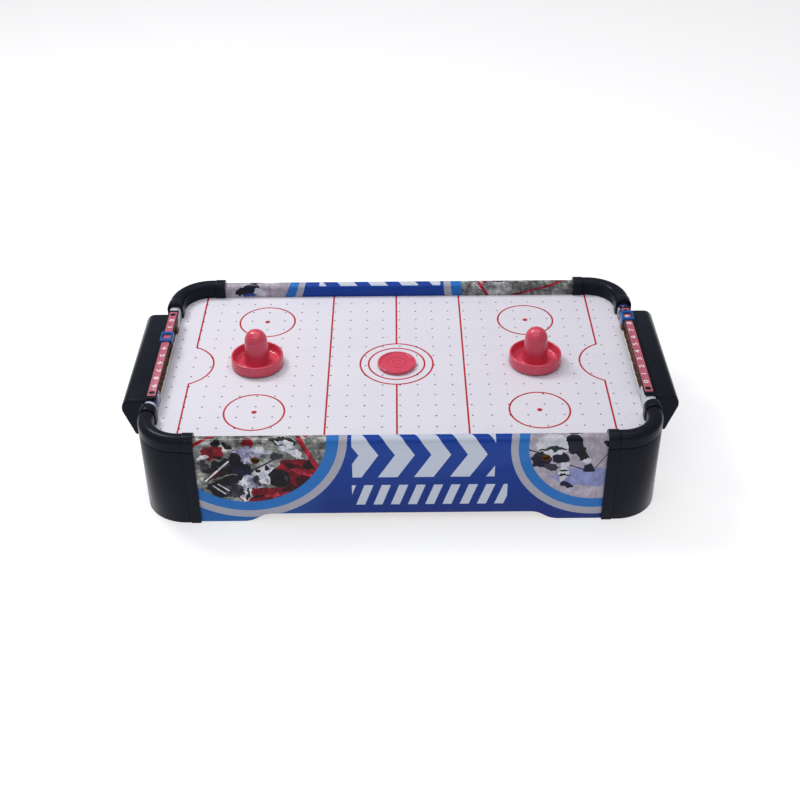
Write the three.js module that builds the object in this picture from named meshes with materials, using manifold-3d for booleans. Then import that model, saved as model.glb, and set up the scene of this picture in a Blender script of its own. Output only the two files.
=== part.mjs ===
// Tabletop air hockey table: a battery-blown playfield in a wrapped-board frame with moulded corners,
// goal boxes, sliding score markers, two strikers and a puck. Millimetres, +Z up, origin on the floor
// under the middle of the table, +X along its length and +Y towards the back.
import * as THREE from 'three';
import { mergeVertices } from 'three/addons/utils/BufferGeometryUtils.js';
import Module from 'manifold-3d';

const wasm = await Module();
wasm.setup();

// ---- driving dimensions ----------------------------------------------------------------------------

const GAP = 0.3; // between pieces that touch

const FIELD_Z = 85.5; // playing surface above the floor
const FIELD_T = 3; // thickness of the perforated playing board
const INNER_X = 243; // half length between the end rails
const INNER_Y = 139.5; // half width between the side rails
const RAIL_T = 12.5; // thickness of the frame boards
const RAIL_TOP = 99.5; // top of the frame boards
const RAIL_ROUND = 5; // radius of their top edges
const SIDE_END = 209; // half length of a side board
const END_END = 101; // half length of an end board
const OUTER_X = INNER_X + RAIL_T;
const OUTER_Y = INNER_Y + RAIL_T;

const ARCH = { foot: 155.5, crown: 127, height: 9.3 }; // cut-out under each side board

const CORNER = { x: 213, y: 109.5, outer: 44, inner: 28.5, wall: 1.2 }; // centre and radii of a corner
const CORNER_TOP = 103.1;
const COLLAR = { length: 10.5, proud: 1, sideTop: 0.5, endTop: 2.2 }; // band at each mouth of a corner
const POST_WALL = 2.4; // thickness of a corner post where it stands free of the boards
const SEAM_Z = 87.3; // top of a corner post, where its cap sits
const MOUTH_X = 198.5; // where a corner starts on a side board
const MOUTH_Y = 95; // where a corner starts on an end board

const NOTCH_Y = 62; // half width of the goal mouth
const GOAL = { half: 82, top: 99, tip: 279, bottom: 56.5, foot: 268.5, wall: 2.2 }; // goal box
const GOAL_ROUND = 10.5; // radius of its outer top edge
const REBATE = { x: 252.4, z: 96.2 }; // step in the end board under the lip of the goal box
const PICKUP = { half: 40, low: 62, high: 82 }; // slot in the goal box for taking out the puck

const BAR = { x: 248, half: 83.5, width: 10.4, footWidth: 8, low: 99.8, neck: 101, top: 103 };
const STRIP = { half: 79.8, width: 8.2, low: 102.5, top: 102.9 };
const BAR_SCREW = { y: 74.3, hole: 2.9, recess: 3.2, seat: 100.5, head: 2.6, headHeight: 1.2 };
const SCORE_STEP = 13.9; // spacing of the ten numbers
const SCORE_END = 4.5 * SCORE_STEP;
const SLIDER = { width: 12.8, length: 17.5, low: 99.9, top: 105, skirt: 98.8, window: [8.6, 10] };
const SCORE_LEFT_Y = SCORE_END - 2.5 * SCORE_STEP; // left marker, between 2 and 3
const SCORE_RIGHT_Y = SCORE_END; // right marker, on 9

const STRIKER = { base: 27.5, rim: 12.8, floor: 3.6, knob: 12, top: 42.5, wall: 2.4, felt: 1.1 };
const STRIKER_LEFT = [-149.8, 0.7];
const STRIKER_RIGHT = [142.4, 0.5];
const PUCK = { at: [-3.2, -2.5], radius: 20.15, thickness: 4, rim: 17.35 };

const BASE_Z = 42; // underside of the base board that closes the air chamber
const BASE_T = 3;
const BATTEN = { half: 197, depth: 12, low: 70.4 };
const PANEL_SCREW = { x: 140, z: 76.5, recess: 7.6, depth: 6 };

const FAN = { inlet: 31, duct: 34, ductWall: 2.4, top: 60, blade: 29, bladeLow: 48, bladeHigh: 56 };
const MOTOR = { radius: 12, low: 60.4, high: 80 };
const GRILLE = { radius: 40, low: 39.3, slots: 7, slotWidth: 3.4, pitch: 7.6 };

const BATTERY = { x: 95, halfX: 49, halfY: 31, low: 22, wall: 2.5, roof: 2 };
const CELL = { count: 6, radius: 7.1, length: 50, pitch: 15, z: 32.4 };
const DOOR = { halfX: 47.3, low: 23, high: 25 };

const SWITCH = { x: 150, z: 60, bodyX: 12.8, bodyZ: 19, bezelX: 15, bezelZ: 21, depth: 16, tilt: 10 };
const LEAD_RADIUS = 0.9;

const ROUND = 28; // facets round a turned piece

// ---- finishes --------------------------------------------------------------------------------------

const finish = (color, roughness, metalness = 0) =>
  new THREE.MeshStandardMaterial({ color, roughness, metalness });
const FINISH = {
  printedBoard: finish(0x2f5aa6, 0.35),
  blackPlastic: finish(0x262a31, 0.4),
  whiteField: finish(0xe2e0e8, 0.45),
  rawBoard: finish(0x7a5430, 0.85),
  redPlastic: finish(0xc8283c, 0.35),
  pinkStrip: finish(0xc86e7d, 0.5),
  bluePlastic: finish(0x2d69af, 0.35),
  felt: finish(0x1c1a1a, 0.95),
  steel: finish(0x9a9a9a, 0.3, 1),
  motorCan: finish(0xb4b6b8, 0.25, 1),
  cell: finish(0x2c5f49, 0.3),
  lead: finish(0x8c1420, 0.5),
};

// ---- solids ----------------------------------------------------------------------------------------

// Turns every face outwards, which mirroring and some profiles reverse.
function facingOut(geometry) {
  const merged = geometry.clone();
  merged.deleteAttribute('normal');
  merged.deleteAttribute('uv');
  const closed = mergeVertices(merged, 1e-4);
  const p = closed.getAttribute('position');
  const index = closed.getIndex();
  const corners = [new THREE.Vector3(), new THREE.Vector3(), new THREE.Vector3()];
  let volume = 0;
  for (let i = 0; i < index.count; i += 3) {
    corners.forEach((corner, k) => corner.fromBufferAttribute(p, index.getX(i + k)));
    volume += corners[0].dot(corners[1].clone().cross(corners[2]));
  }
  if (volume < 0) {
    for (let i = 0; i < index.count; i += 3) {
      const first = index.getX(i);
      index.setX(i, index.getX(i + 1));
      index.setX(i + 1, first);
    }
  }
  return closed;
}

function toSolid(geometry) {
  const closed = facingOut(geometry);
  return new wasm.Manifold(new wasm.Mesh({
    numProp: 3,
    vertProperties: new Float32Array(closed.getAttribute('position').array),
    triVerts: new Uint32Array(closed.getIndex().array),
  }));
}

function toGeometry(solid) {
  const mesh = solid.getMesh();
  const geometry = new THREE.BufferGeometry();
  geometry.setAttribute('position', new THREE.BufferAttribute(new Float32Array(mesh.vertProperties), 3));
  geometry.setIndex(new THREE.BufferAttribute(new Uint32Array(mesh.triVerts), 1));
  geometry.computeVertexNormals();
  return geometry;
}

const cut = (body, ...tools) =>
  toGeometry(tools.reduce((solid, tool) => solid.subtract(toSolid(tool)), toSolid(body)));
const join = (body, ...others) =>
  toGeometry(others.reduce((solid, other) => solid.add(toSolid(other)), toSolid(body)));

const mirrorX = (geometry) => facingOut(geometry.clone().scale(-1, 1, 1));
const mirrorY = (geometry) => facingOut(geometry.clone().scale(1, -1, 1));

function box(x0, x1, y0, y1, z0, z1) {
  const geometry = new THREE.BoxGeometry(x1 - x0, y1 - y0, z1 - z0);
  return geometry.translate((x0 + x1) / 2, (y0 + y1) / 2, (z0 + z1) / 2);
}

// A shape drawn in one plane and pushed along the third axis from one value to the other.
const AXES = {
  X: [[0, 1, 0], [0, 0, 1], [1, 0, 0]], // drawn in Y and Z
  Y: [[0, 0, 1], [1, 0, 0], [0, 1, 0]], // drawn in Z and X
  Z: [[1, 0, 0], [0, 1, 0], [0, 0, 1]], // drawn in X and Y
};
function prism(shape, along, from, to) {
  const geometry = new THREE.ExtrudeGeometry(shape, { depth: to - from, bevelEnabled: false });
  const basis = AXES[along].map((axis) => new THREE.Vector3(...axis));
  geometry.translate(0, 0, from);
  return geometry.applyMatrix4(new THREE.Matrix4().makeBasis(...basis));
}

const polygon = (points) => new THREE.Shape(points.map(([x, y]) => new THREE.Vector2(x, y)));

// Points of an arc about (a, b), both ends included.
function arc(a, b, radius, from, to, steps = 6) {
  return Array.from({ length: steps + 1 }, (_, step) => {
    const angle = from + ((to - from) * step) / steps;
    return [a + radius * Math.cos(angle), b + radius * Math.sin(angle)];
  });
}
const QUARTER = Math.PI / 2;

// A point list with its two coordinates exchanged.
const swapped = (points) => points.map(([a, b]) => [b, a]);

// A round bar along an axis, centred on the two other coordinates in the order that prism draws them.
function rod(along, radius, from, to, a, b, facets = ROUND) {
  const circle = arc(a, b, radius, 0, 2 * Math.PI, facets).slice(0, -1);
  return prism(polygon(circle), along, from, to);
}

// A turned piece from radius and height pairs, standing on the point (x, y, 0).
function turned(profile, x, y, facets = ROUND) {
  const points = profile.map(([radius, height]) => new THREE.Vector2(radius, height));
  const geometry = new THREE.LatheGeometry(points, facets);
  geometry.rotateX(Math.PI / 2);
  return facingOut(geometry.translate(x, y, 0));
}

// A flat-headed wood screw with its head's top at the origin, pointing down.
function screw(headRadius, headHeight, shankRadius, length) {
  const tip = 2 * shankRadius;
  const profile = [
    [0, -length],
    [shankRadius, -length + tip],
    [shankRadius, -headHeight],
    [headRadius, -headHeight * 0.4],
    [headRadius, 0],
    [headRadius * 0.45, 0],
    [headRadius * 0.2, -headHeight * 0.4],
    [0, -headHeight * 0.4],
  ];
  return turned(profile, 0, 0, 12);
}

const table = new THREE.Group();
table.name = 'air_hockey_table';

function add(name, geometry, material, position = [0, 0, 0]) {
  const mesh = new THREE.Mesh(geometry, material);
  mesh.name = name;
  mesh.position.set(...position);
  table.add(mesh);
  return mesh;
}

const SIDES = [['left', -1], ['right', 1]];
const FACES = [['front', -1], ['back', 1]];

// ---- frame boards ----------------------------------------------------------------------------------

// Section of a board: inner face, rounded top, outer face, as distance outwards and height.
function boardSection(inner, outer) {
  const spring = RAIL_TOP - RAIL_ROUND;
  return [
    [inner, 0],
    [outer, 0],
    ...arc(outer - RAIL_ROUND, spring, RAIL_ROUND, 0, QUARTER, 4),
    ...arc(inner + RAIL_ROUND, spring, RAIL_ROUND, QUARTER, 2 * QUARTER, 4),
  ];
}

// Half of the cut-out under a side board, from its foot to its crown, as height and distance from the middle.
function archFlank(side) {
  const middle = (ARCH.foot + ARCH.crown) / 2;
  const flank = new THREE.CubicBezierCurve(
    new THREE.Vector2(0, ARCH.foot), new THREE.Vector2(ARCH.height * 0.1, middle),
    new THREE.Vector2(ARCH.height, middle), new THREE.Vector2(ARCH.height, ARCH.crown),
  );
  return flank.getPoints(6).map(({ x, y }) => [x, side * y]);
}
const archOutline = [
  [-1, -ARCH.foot], ...archFlank(-1), ...archFlank(1).reverse(), [-1, ARCH.foot],
];

// The arch is drawn in Z and X, so it is pushed along Y through the board.
const archTool = prism(polygon(archOutline), 'Y', INNER_Y - 2, OUTER_Y + 2);
const switchHole = box(
  SWITCH.x - SWITCH.bodyX / 2 - GAP, SWITCH.x + SWITCH.bodyX / 2 + GAP,
  INNER_Y - 2, OUTER_Y + 2,
  SWITCH.z - SWITCH.bodyZ / 2 - GAP, SWITCH.z + SWITCH.bodyZ / 2 + GAP,
);
const panelHoles = [-1, 1].flatMap((side) => {
  const at = [PANEL_SCREW.z, side * PANEL_SCREW.x];
  return [
    rod('Y', PANEL_SCREW.recess / 2, OUTER_Y - PANEL_SCREW.depth, OUTER_Y + 2, ...at, 16),
    rod('Y', 1.9, INNER_Y - 2, OUTER_Y, ...at, 12),
  ];
});

const sideBoard = cut(
  prism(polygon(boardSection(INNER_Y, OUTER_Y)), 'X', -SIDE_END, SIDE_END), archTool, ...panelHoles,
);
add('side_rail_front', mirrorY(sideBoard), FINISH.printedBoard);
add('side_rail_back', cut(sideBoard, switchHole), FINISH.printedBoard);

const GOAL_SCREW = { y: 73, z: 70 };
const endBoard = cut(
  prism(polygon(swapped(boardSection(INNER_X, OUTER_X))), 'Y', -END_END, END_END),
  box(INNER_X - 2, OUTER_X + 2, -NOTCH_Y, NOTCH_Y, FIELD_Z - GAP, RAIL_TOP + 2),
  box(REBATE.x, OUTER_X + 2, -GOAL.half - GAP, GOAL.half + GAP, REBATE.z, RAIL_TOP + 2),
  ...[-1, 1].flatMap((end) => [
    rod('X', 1.9, INNER_X - 2, OUTER_X + 2, end * GOAL_SCREW.y, GOAL_SCREW.z, 12),
    rod('Z', 1.7, RAIL_TOP - 16, RAIL_TOP + 2, BAR.x, end * BAR_SCREW.y, 12),
  ]),
);
add('end_rail_right', endBoard, FINISH.printedBoard);
add('end_rail_left', mirrorX(endBoard), FINISH.printedBoard);

// ---- moulded corners -------------------------------------------------------------------------------

// Centre line of a corner cap: along the side board, round the corner, along the end board.
class CornerLine extends THREE.Curve {
  constructor(startX, endY, z) {
    super();
    this.radius = (CORNER.outer + CORNER.inner) / 2;
    this.lengths = [CORNER.x - startX, (this.radius * Math.PI) / 2, CORNER.y - endY];
    this.z = z;
  }

  getPoint(t, target = new THREE.Vector3()) {
    const [first, arc, last] = this.lengths;
    const along = t * (first + arc + last);
    const angle = Math.PI / 2 - THREE.MathUtils.clamp((along - first) / this.radius, 0, Math.PI / 2);
    const x = CORNER.x + this.radius * Math.cos(angle) - Math.max(0, first - along);
    const y = CORNER.y + this.radius * Math.sin(angle) - Math.max(0, along - first - arc);
    return target.set(x, y, this.z);
  }
}

const CROWN_STEPS = 8; // facets over the round top of a cap

// Section of a cap, open below, as height and distance outwards from its centre line.
function capSection(proud, topProud) {
  const half = (CORNER.outer - CORNER.inner) / 2;
  const crown = CORNER_TOP + topProud;
  const spring = 96.5;
  const outlineHalf = half + proud;
  const points = [[SEAM_Z + GAP, outlineHalf]];
  for (let step = 0; step <= CROWN_STEPS; step++) {
    const angle = (step * Math.PI) / CROWN_STEPS;
    points.push([spring + (crown - spring) * Math.sin(angle), outlineHalf * Math.cos(angle)]);
  }
  points.push([FIELD_Z + GAP, -outlineHalf]);
  points.push([FIELD_Z + GAP, -half + CORNER.wall]);
  points.push([RAIL_TOP + GAP, -half + CORNER.wall]);
  points.push([RAIL_TOP + GAP, half - CORNER.wall]);
  points.push([SEAM_Z + GAP, half - CORNER.wall]);
  // A path in a level plane carries its section with X pointing down and Y to the left of the way it goes.
  return polygon(points.map(([z, outwards]) => [-z, outwards]));
}

function capSweep(proud, topProud, line, steps) {
  const path = new CornerLine(...line, 0);
  return new THREE.ExtrudeGeometry(capSection(proud, topProud), { steps, extrudePath: path });
}

const bandX = new THREE.LineCurve3(
  new THREE.Vector3(MOUTH_X, CORNER.y + (CORNER.outer + CORNER.inner) / 2, 0),
  new THREE.Vector3(MOUTH_X + COLLAR.length, CORNER.y + (CORNER.outer + CORNER.inner) / 2, 0),
);
const bandY = new THREE.LineCurve3(
  new THREE.Vector3(CORNER.x + (CORNER.outer + CORNER.inner) / 2, MOUTH_Y + COLLAR.length, 0),
  new THREE.Vector3(CORNER.x + (CORNER.outer + CORNER.inner) / 2, MOUTH_Y, 0),
);
const band = (path, topProud) =>
  new THREE.ExtrudeGeometry(capSection(COLLAR.proud, topProud), { steps: 1, extrudePath: path });
const cornerCap = join(
  capSweep(0, 0, [MOUTH_X + 0.5, MOUTH_Y + 0.5], 16), band(bandX, COLLAR.sideTop), band(bandY, COLLAR.endTop),
);

const cornerArc = (radius, from, to) => arc(CORNER.x, CORNER.y, radius, from, to, 12);

const wallFace = CORNER.outer - CORNER.wall; // inside of the outer wall
const lipFace = CORNER.inner + CORNER.wall; // board side of the inner wall
const STOP_X = SIDE_END + 0.4; // web that a side board's end meets
const STOP_Y = END_END + 0.4;
const WEB = 2.6;

// Plan of a post: a wall round the outside, a wall under the playfield's corner and two webs between them.
function postPlan() {
  const { x, y, outer, inner } = CORNER;
  const proudOuter = outer + COLLAR.proud;
  const bandEndX = MOUTH_X + COLLAR.length;
  const bandEndY = MOUTH_Y + COLLAR.length;
  return polygon([
    [MOUTH_X, y + proudOuter], [bandEndX, y + proudOuter], [bandEndX, y + outer],
    ...cornerArc(outer, QUARTER, 0),
    [x + outer, bandEndY], [x + proudOuter, bandEndY], [x + proudOuter, MOUTH_Y],
    [x + wallFace, MOUTH_Y], [x + wallFace, STOP_Y], [x + lipFace, STOP_Y], [x + lipFace, MOUTH_Y],
    [x + inner, MOUTH_Y],
    ...cornerArc(inner, 0, QUARTER),
    [MOUTH_X, y + inner], [MOUTH_X, y + lipFace], [STOP_X, y + lipFace], [STOP_X, y + wallFace],
    [MOUTH_X, y + wallFace],
  ]);
}

const hollowOuter = CORNER.outer - POST_WALL;
const hollowInner = CORNER.inner + POST_WALL;
const postHollow = polygon([
  [STOP_X + WEB, CORNER.y + hollowOuter],
  ...cornerArc(hollowOuter, QUARTER, 0),
  [CORNER.x + hollowOuter, STOP_Y + WEB], [CORNER.x + hollowInner, STOP_Y + WEB],
  ...cornerArc(hollowInner, 0, QUARTER),
  [STOP_X + WEB, CORNER.y + hollowInner],
]);

// Everything inside the outer wall is cut down to the underside of the playfield.
const fieldCorner = polygon([
  [MOUTH_X - 5, CORNER.y + wallFace],
  ...cornerArc(wallFace, QUARTER, 0),
  [CORNER.x + wallFace, MOUTH_Y - 5],
  [MOUTH_X - 5, MOUTH_Y - 5],
]);
const cornerPost = cut(
  prism(postPlan(), 'Z', 0, SEAM_Z),
  prism(postHollow, 'Z', -1, SEAM_Z + 1),
  prism(fieldCorner, 'Z', FIELD_Z - FIELD_T - GAP, SEAM_Z + 5),
);

for (const [face, ySign] of FACES) {
  for (const [side, xSign] of SIDES) {
    const place = (geometry) => {
      const acrossX = xSign < 0 ? mirrorX(geometry) : geometry;
      return ySign < 0 ? mirrorY(acrossX) : acrossX;
    };
    add(`corner_cap_${face}_${side}`, place(cornerCap), FINISH.blackPlastic);
    add(`corner_post_${face}_${side}`, place(cornerPost), FINISH.blackPlastic);
  }
}

// ---- playfield, base board and battens ----------------------------------------------------------------

function clippedPlate(halfX, halfY, clipX, clipY) {
  return polygon([
    [-halfX + clipX, -halfY], [halfX - clipX, -halfY], [halfX, -halfY + clipY], [halfX, halfY - clipY],
    [halfX - clipX, halfY], [-halfX + clipX, halfY], [-halfX, halfY - clipY], [-halfX, -halfY + clipY],
  ]);
}

add(
  'playfield',
  prism(clippedPlate(INNER_X - GAP, INNER_Y - GAP, 1.5, 1.5), 'Z', FIELD_Z - FIELD_T, FIELD_Z),
  FINISH.whiteField,
);

const baseTop = BASE_Z + BASE_T;
const leadHole = [BATTERY.x, 20];
add(
  'base_board',
  cut(
    prism(clippedPlate(INNER_X - GAP, INNER_Y - GAP, 48, 50), 'Z', BASE_Z, baseTop),
    rod('Z', FAN.inlet, BASE_Z - 1, baseTop + 1, 0, 0, 24),
    rod('Z', 2.5, BASE_Z - 1, baseTop + 1, ...leadHole, 12),
  ),
  FINISH.rawBoard,
);

const battenHigh = FIELD_Z - FIELD_T - GAP;
for (const [face, ySign] of FACES) {
  const batten = cut(
    box(-BATTEN.half, BATTEN.half, INNER_Y - GAP - BATTEN.depth, INNER_Y - GAP, BATTEN.low, battenHigh),
    ...[-1, 1].map((side) =>
      rod('Y', 1.9, INNER_Y - BATTEN.depth + 1, INNER_Y + 2, PANEL_SCREW.z, side * PANEL_SCREW.x, 12)),
  );
  add(`batten_${face}`, ySign < 0 ? mirrorY(batten) : batten, FINISH.rawBoard);
  for (const [side, xSign] of SIDES) {
    const panelScrew = screw(3.3, 2.2, 1.4, 15);
    panelScrew.rotateX(-Math.PI / 2 * ySign);
    const y = ySign * (OUTER_Y - PANEL_SCREW.depth + 2.2 + GAP);
    add(`panel_screw_${face}_${side}`, panelScrew, FINISH.steel, [xSign * PANEL_SCREW.x, y, PANEL_SCREW.z]);
  }
}

// ---- goal boxes --------------------------------------------------------------------------------------

// Side view of a goal box as distance outwards and height, "wall" inside the outer surface and reaching
// in to "back".
function goalSideView(wall, back) {
  const slope = Math.atan2(GOAL.tip - GOAL.foot, FIELD_Z - GOAL.bottom);
  const foot = GOAL.foot - wall / Math.cos(slope);
  const low = GOAL.bottom + wall;
  return [
    [back, low],
    [foot - 1.5, low],
    [foot + 0.2, low + 1.5],
    [GOAL.tip - wall, FIELD_Z],
    ...arc(GOAL.tip - GOAL_ROUND, GOAL.top - GOAL_ROUND, GOAL_ROUND - wall, 0, QUARTER, 6),
    [back, GOAL.top - wall],
  ];
}

const goalBody = (wall, back) =>
  prism(polygon(swapped(goalSideView(wall, back))), 'Y', -GOAL.half + wall, GOAL.half - wall);

const lip = REBATE.x + GAP;
const goalShell = cut(
  goalBody(0, lip),
  box(lip - 1, OUTER_X + GAP, -GOAL.half - 1, GOAL.half + 1, GOAL.bottom - 1, REBATE.z + GAP),
  goalBody(GOAL.wall, OUTER_X - 8),
  box(GOAL.foot - 12, GOAL.tip + 1, -PICKUP.half, PICKUP.half, PICKUP.low, PICKUP.high),
);
const boss = (end) => cut(
  box(OUTER_X + GAP, OUTER_X + 9, end * GOAL_SCREW.y - 4, end * GOAL_SCREW.y + 4, GOAL.bottom + 1, 75),
  rod('X', 1.9, OUTER_X - 1, OUTER_X + 10, end * GOAL_SCREW.y, GOAL_SCREW.z, 12),
);
const goalBox = join(goalShell, boss(-1), boss(1));

for (const [side, xSign] of SIDES) {
  add(`goal_box_${side}`, xSign < 0 ? mirrorX(goalBox) : goalBox, FINISH.blackPlastic);
  for (const [face, ySign] of FACES) {
    const goalScrew = screw(3.4, 2.2, 1.4, 21);
    goalScrew.rotateY(-Math.PI / 2 * xSign);
    const at = [xSign * (INNER_X - 2.2 - GAP), ySign * GOAL_SCREW.y, GOAL_SCREW.z];
    add(`goal_box_screw_${side}_${face}`, goalScrew, FINISH.steel, at);
  }
}

// ---- score keeping -----------------------------------------------------------------------------------

const barSection = polygon([
  [BAR.low, BAR.x - BAR.footWidth / 2], [BAR.neck, BAR.x - BAR.footWidth / 2],
  [BAR.neck, BAR.x - BAR.width / 2], [BAR.top, BAR.x - BAR.width / 2],
  [BAR.top, BAR.x + BAR.width / 2], [BAR.neck, BAR.x + BAR.width / 2],
  [BAR.neck, BAR.x + BAR.footWidth / 2], [BAR.low, BAR.x + BAR.footWidth / 2],
]);
const stripHalfWidth = STRIP.width / 2;
const scoreBar = cut(
  prism(barSection, 'Y', -BAR.half, BAR.half),
  box(
    BAR.x - stripHalfWidth - GAP, BAR.x + stripHalfWidth + GAP,
    -STRIP.half - GAP, STRIP.half + GAP, STRIP.low - GAP, BAR.top + 1,
  ),
  ...[-1, 1].flatMap((end) => [
    rod('Z', BAR_SCREW.recess, BAR_SCREW.seat, BAR.top + 1, BAR.x, end * BAR_SCREW.y, 16),
    rod('Z', 1.6, BAR.low - 1, BAR_SCREW.seat + 1, BAR.x, end * BAR_SCREW.y, 12),
  ]),
);
const scoreStrip = cut(
  box(BAR.x - stripHalfWidth, BAR.x + stripHalfWidth, -STRIP.half, STRIP.half, STRIP.low, STRIP.top),
  ...[-1, 1].map((end) =>
    rod('Z', BAR_SCREW.hole, STRIP.low - 1, STRIP.top + 1, BAR.x, end * BAR_SCREW.y, 16)),
);

// The marker is a sleeve that hooks under the bar, with a window on top and a skirt on the field side.
const sleeveHalf = BAR.width / 2 + GAP;
const [windowX, windowY] = SLIDER.window;
const halfLength = SLIDER.length / 2;
const slider = cut(
  join(
    box(BAR.x - SLIDER.width / 2, BAR.x + SLIDER.width / 2, -halfLength, halfLength, SLIDER.low, SLIDER.top),
    box(BAR.x - SLIDER.width / 2, BAR.x - sleeveHalf, -halfLength, halfLength, SLIDER.skirt, SLIDER.low + 1),
  ),
  box(BAR.x - sleeveHalf, BAR.x + sleeveHalf, -20, 20, BAR.neck - GAP, BAR.top + GAP),
  box(BAR.x - BAR.footWidth / 2 - 0.4, BAR.x + BAR.footWidth / 2 + 0.4, -20, 20, SLIDER.low - 5, BAR.neck),
  box(BAR.x - windowX / 2, BAR.x + windowX / 2, -windowY / 2, windowY / 2, BAR.top, SLIDER.top + 1),
);

for (const [side, xSign] of SIDES) {
  const place = (geometry) => (xSign < 0 ? mirrorX(geometry) : geometry);
  const sliderY = xSign < 0 ? SCORE_LEFT_Y : SCORE_RIGHT_Y;
  add(`score_bar_${side}`, place(scoreBar), FINISH.blackPlastic);
  add(`score_strip_${side}`, place(scoreStrip), FINISH.pinkStrip);
  add(`score_slider_${side}`, place(slider), FINISH.bluePlastic, [0, sliderY, 0]);
  for (const [face, ySign] of FACES) {
    const at = [xSign * BAR.x, ySign * BAR_SCREW.y, BAR_SCREW.seat + GAP + BAR_SCREW.headHeight];
    const barScrew = screw(BAR_SCREW.head, BAR_SCREW.headHeight, 1.2, 14);
    add(`score_bar_screw_${side}_${face}`, barScrew, FINISH.steel, at);
  }
}

// ---- strikers and puck -------------------------------------------------------------------------------

const feltTop = FIELD_Z + GAP + STRIKER.felt;
const strikerLow = feltTop + 0.1;
const STRIKER_PROFILE = [
  [0, strikerLow],
  [STRIKER.base - 1, strikerLow],
  [STRIKER.base, strikerLow + 1],
  [STRIKER.base - 0.3, FIELD_Z + STRIKER.rim - 1],
  [STRIKER.base - 1.2, FIELD_Z + STRIKER.rim],
  [STRIKER.base - STRIKER.wall, FIELD_Z + STRIKER.rim - 0.8],
  [STRIKER.base - STRIKER.wall - 0.7, FIELD_Z + STRIKER.floor + 2],
  [STRIKER.base - STRIKER.wall - 3, FIELD_Z + STRIKER.floor],
  [STRIKER.knob + 3.2, FIELD_Z + STRIKER.floor],
  [STRIKER.knob + 0.9, FIELD_Z + STRIKER.floor + 2.5],
  [STRIKER.knob, FIELD_Z + STRIKER.top - 11],
  [STRIKER.knob * 0.95, FIELD_Z + STRIKER.top - 6.5],
  [STRIKER.knob * 0.78, FIELD_Z + STRIKER.top - 2.8],
  [STRIKER.knob * 0.45, FIELD_Z + STRIKER.top - 0.7],
  [0, FIELD_Z + STRIKER.top],
];
const FELT_PROFILE = [
  [0, FIELD_Z + GAP],
  [STRIKER.base - 2, FIELD_Z + GAP],
  [STRIKER.base - 2, feltTop],
  [0, feltTop],
];
for (const [side, [x, y]] of [['left', STRIKER_LEFT], ['right', STRIKER_RIGHT]]) {
  add(`striker_${side}`, turned(STRIKER_PROFILE, 0, 0), FINISH.redPlastic, [x, y, 0]);
  add(`striker_felt_${side}`, turned(FELT_PROFILE, 0, 0, 24), FINISH.felt, [x, y, 0]);
}

const puckLow = FIELD_Z + GAP;
const puckTop = puckLow + PUCK.thickness;
const puckFace = puckTop - 0.9;
const PUCK_PROFILE = [
  [0, puckLow],
  [PUCK.radius - 0.6, puckLow],
  [PUCK.radius, puckLow + 0.8],
  [PUCK.radius, puckTop - 0.8],
  [PUCK.radius - 0.8, puckTop],
  [PUCK.rim + 0.5, puckTop],
  [PUCK.rim, puckFace],
  [0, puckFace],
];
add('puck', turned(PUCK_PROFILE, 0, 0), FINISH.redPlastic, [...PUCK.at, 0]);

// ---- blower ------------------------------------------------------------------------------------------

const ductLow = baseTop + GAP;
const spiderLow = FAN.top - 2.4;
const arms = [0, 1].map((turn) => {
  const reach = FAN.duct + 1;
  const arm = box(-reach, reach, -2.5, 2.5, spiderLow, FAN.top);
  return arm.rotateZ(turn * Math.PI / 2 + Math.PI / 4);
});
const duct = cut(
  rod('Z', FAN.duct + FAN.ductWall, ductLow, FAN.top, 0, 0, 24),
  rod('Z', FAN.duct, ductLow - 1, FAN.top + 1, 0, 0, 24),
);
const fanHousing = cut(
  join(duct, rod('Z', MOTOR.radius + 1, spiderLow, FAN.top, 0, 0, 24), ...arms),
  rod('Z', 2.2, spiderLow - 1, FAN.top + 1, 0, 0, 16),
);
add('fan_housing', fanHousing, FINISH.blackPlastic);

const motorBody = cut(
  rod('Z', MOTOR.radius, MOTOR.low, MOTOR.high, 0, 0, 24),
  rod('Z', 1.4, MOTOR.low - 1, MOTOR.high - 3, 0, 0, 12),
);
add('fan_motor', motorBody, FINISH.motorCan);

const hub = turned([
  [0, FAN.bladeLow - 1.5], [5, FAN.bladeLow - 1.5], [7, FAN.bladeLow], [7, FAN.bladeHigh],
  [1, FAN.bladeHigh], [1, MOTOR.high - 4], [0, MOTOR.high - 4],
], 0, 0, 18);
const BLADES = 6;
const blades = Array.from({ length: BLADES }, (_, turn) => {
  const blade = box(5, FAN.blade, -0.7, 0.7, -7, 7);
  blade.rotateX(THREE.MathUtils.degToRad(58));
  blade.translate(0, 0, (FAN.bladeLow + FAN.bladeHigh) / 2);
  return blade.rotateZ((turn * 2 * Math.PI) / BLADES);
});
add('fan_rotor', join(hub, ...blades), FINISH.whiteField);

const grilleTop = BASE_Z - GAP;
const slots = Array.from({ length: GRILLE.slots }, (_, i) => {
  const x = (i - (GRILLE.slots - 1) / 2) * GRILLE.pitch;
  const reach = Math.sqrt(FAN.inlet ** 2 - x ** 2);
  const half = GRILLE.slotWidth / 2;
  return box(x - half, x + half, -reach, reach, GRILLE.low - 1, grilleTop + 1);
});
const grille = cut(rod('Z', GRILLE.radius, GRILLE.low, grilleTop, 0, 0, 24), ...slots);
add('inlet_grille', grille, FINISH.blackPlastic);

// ---- battery box ---------------------------------------------------------------------------------------

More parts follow.
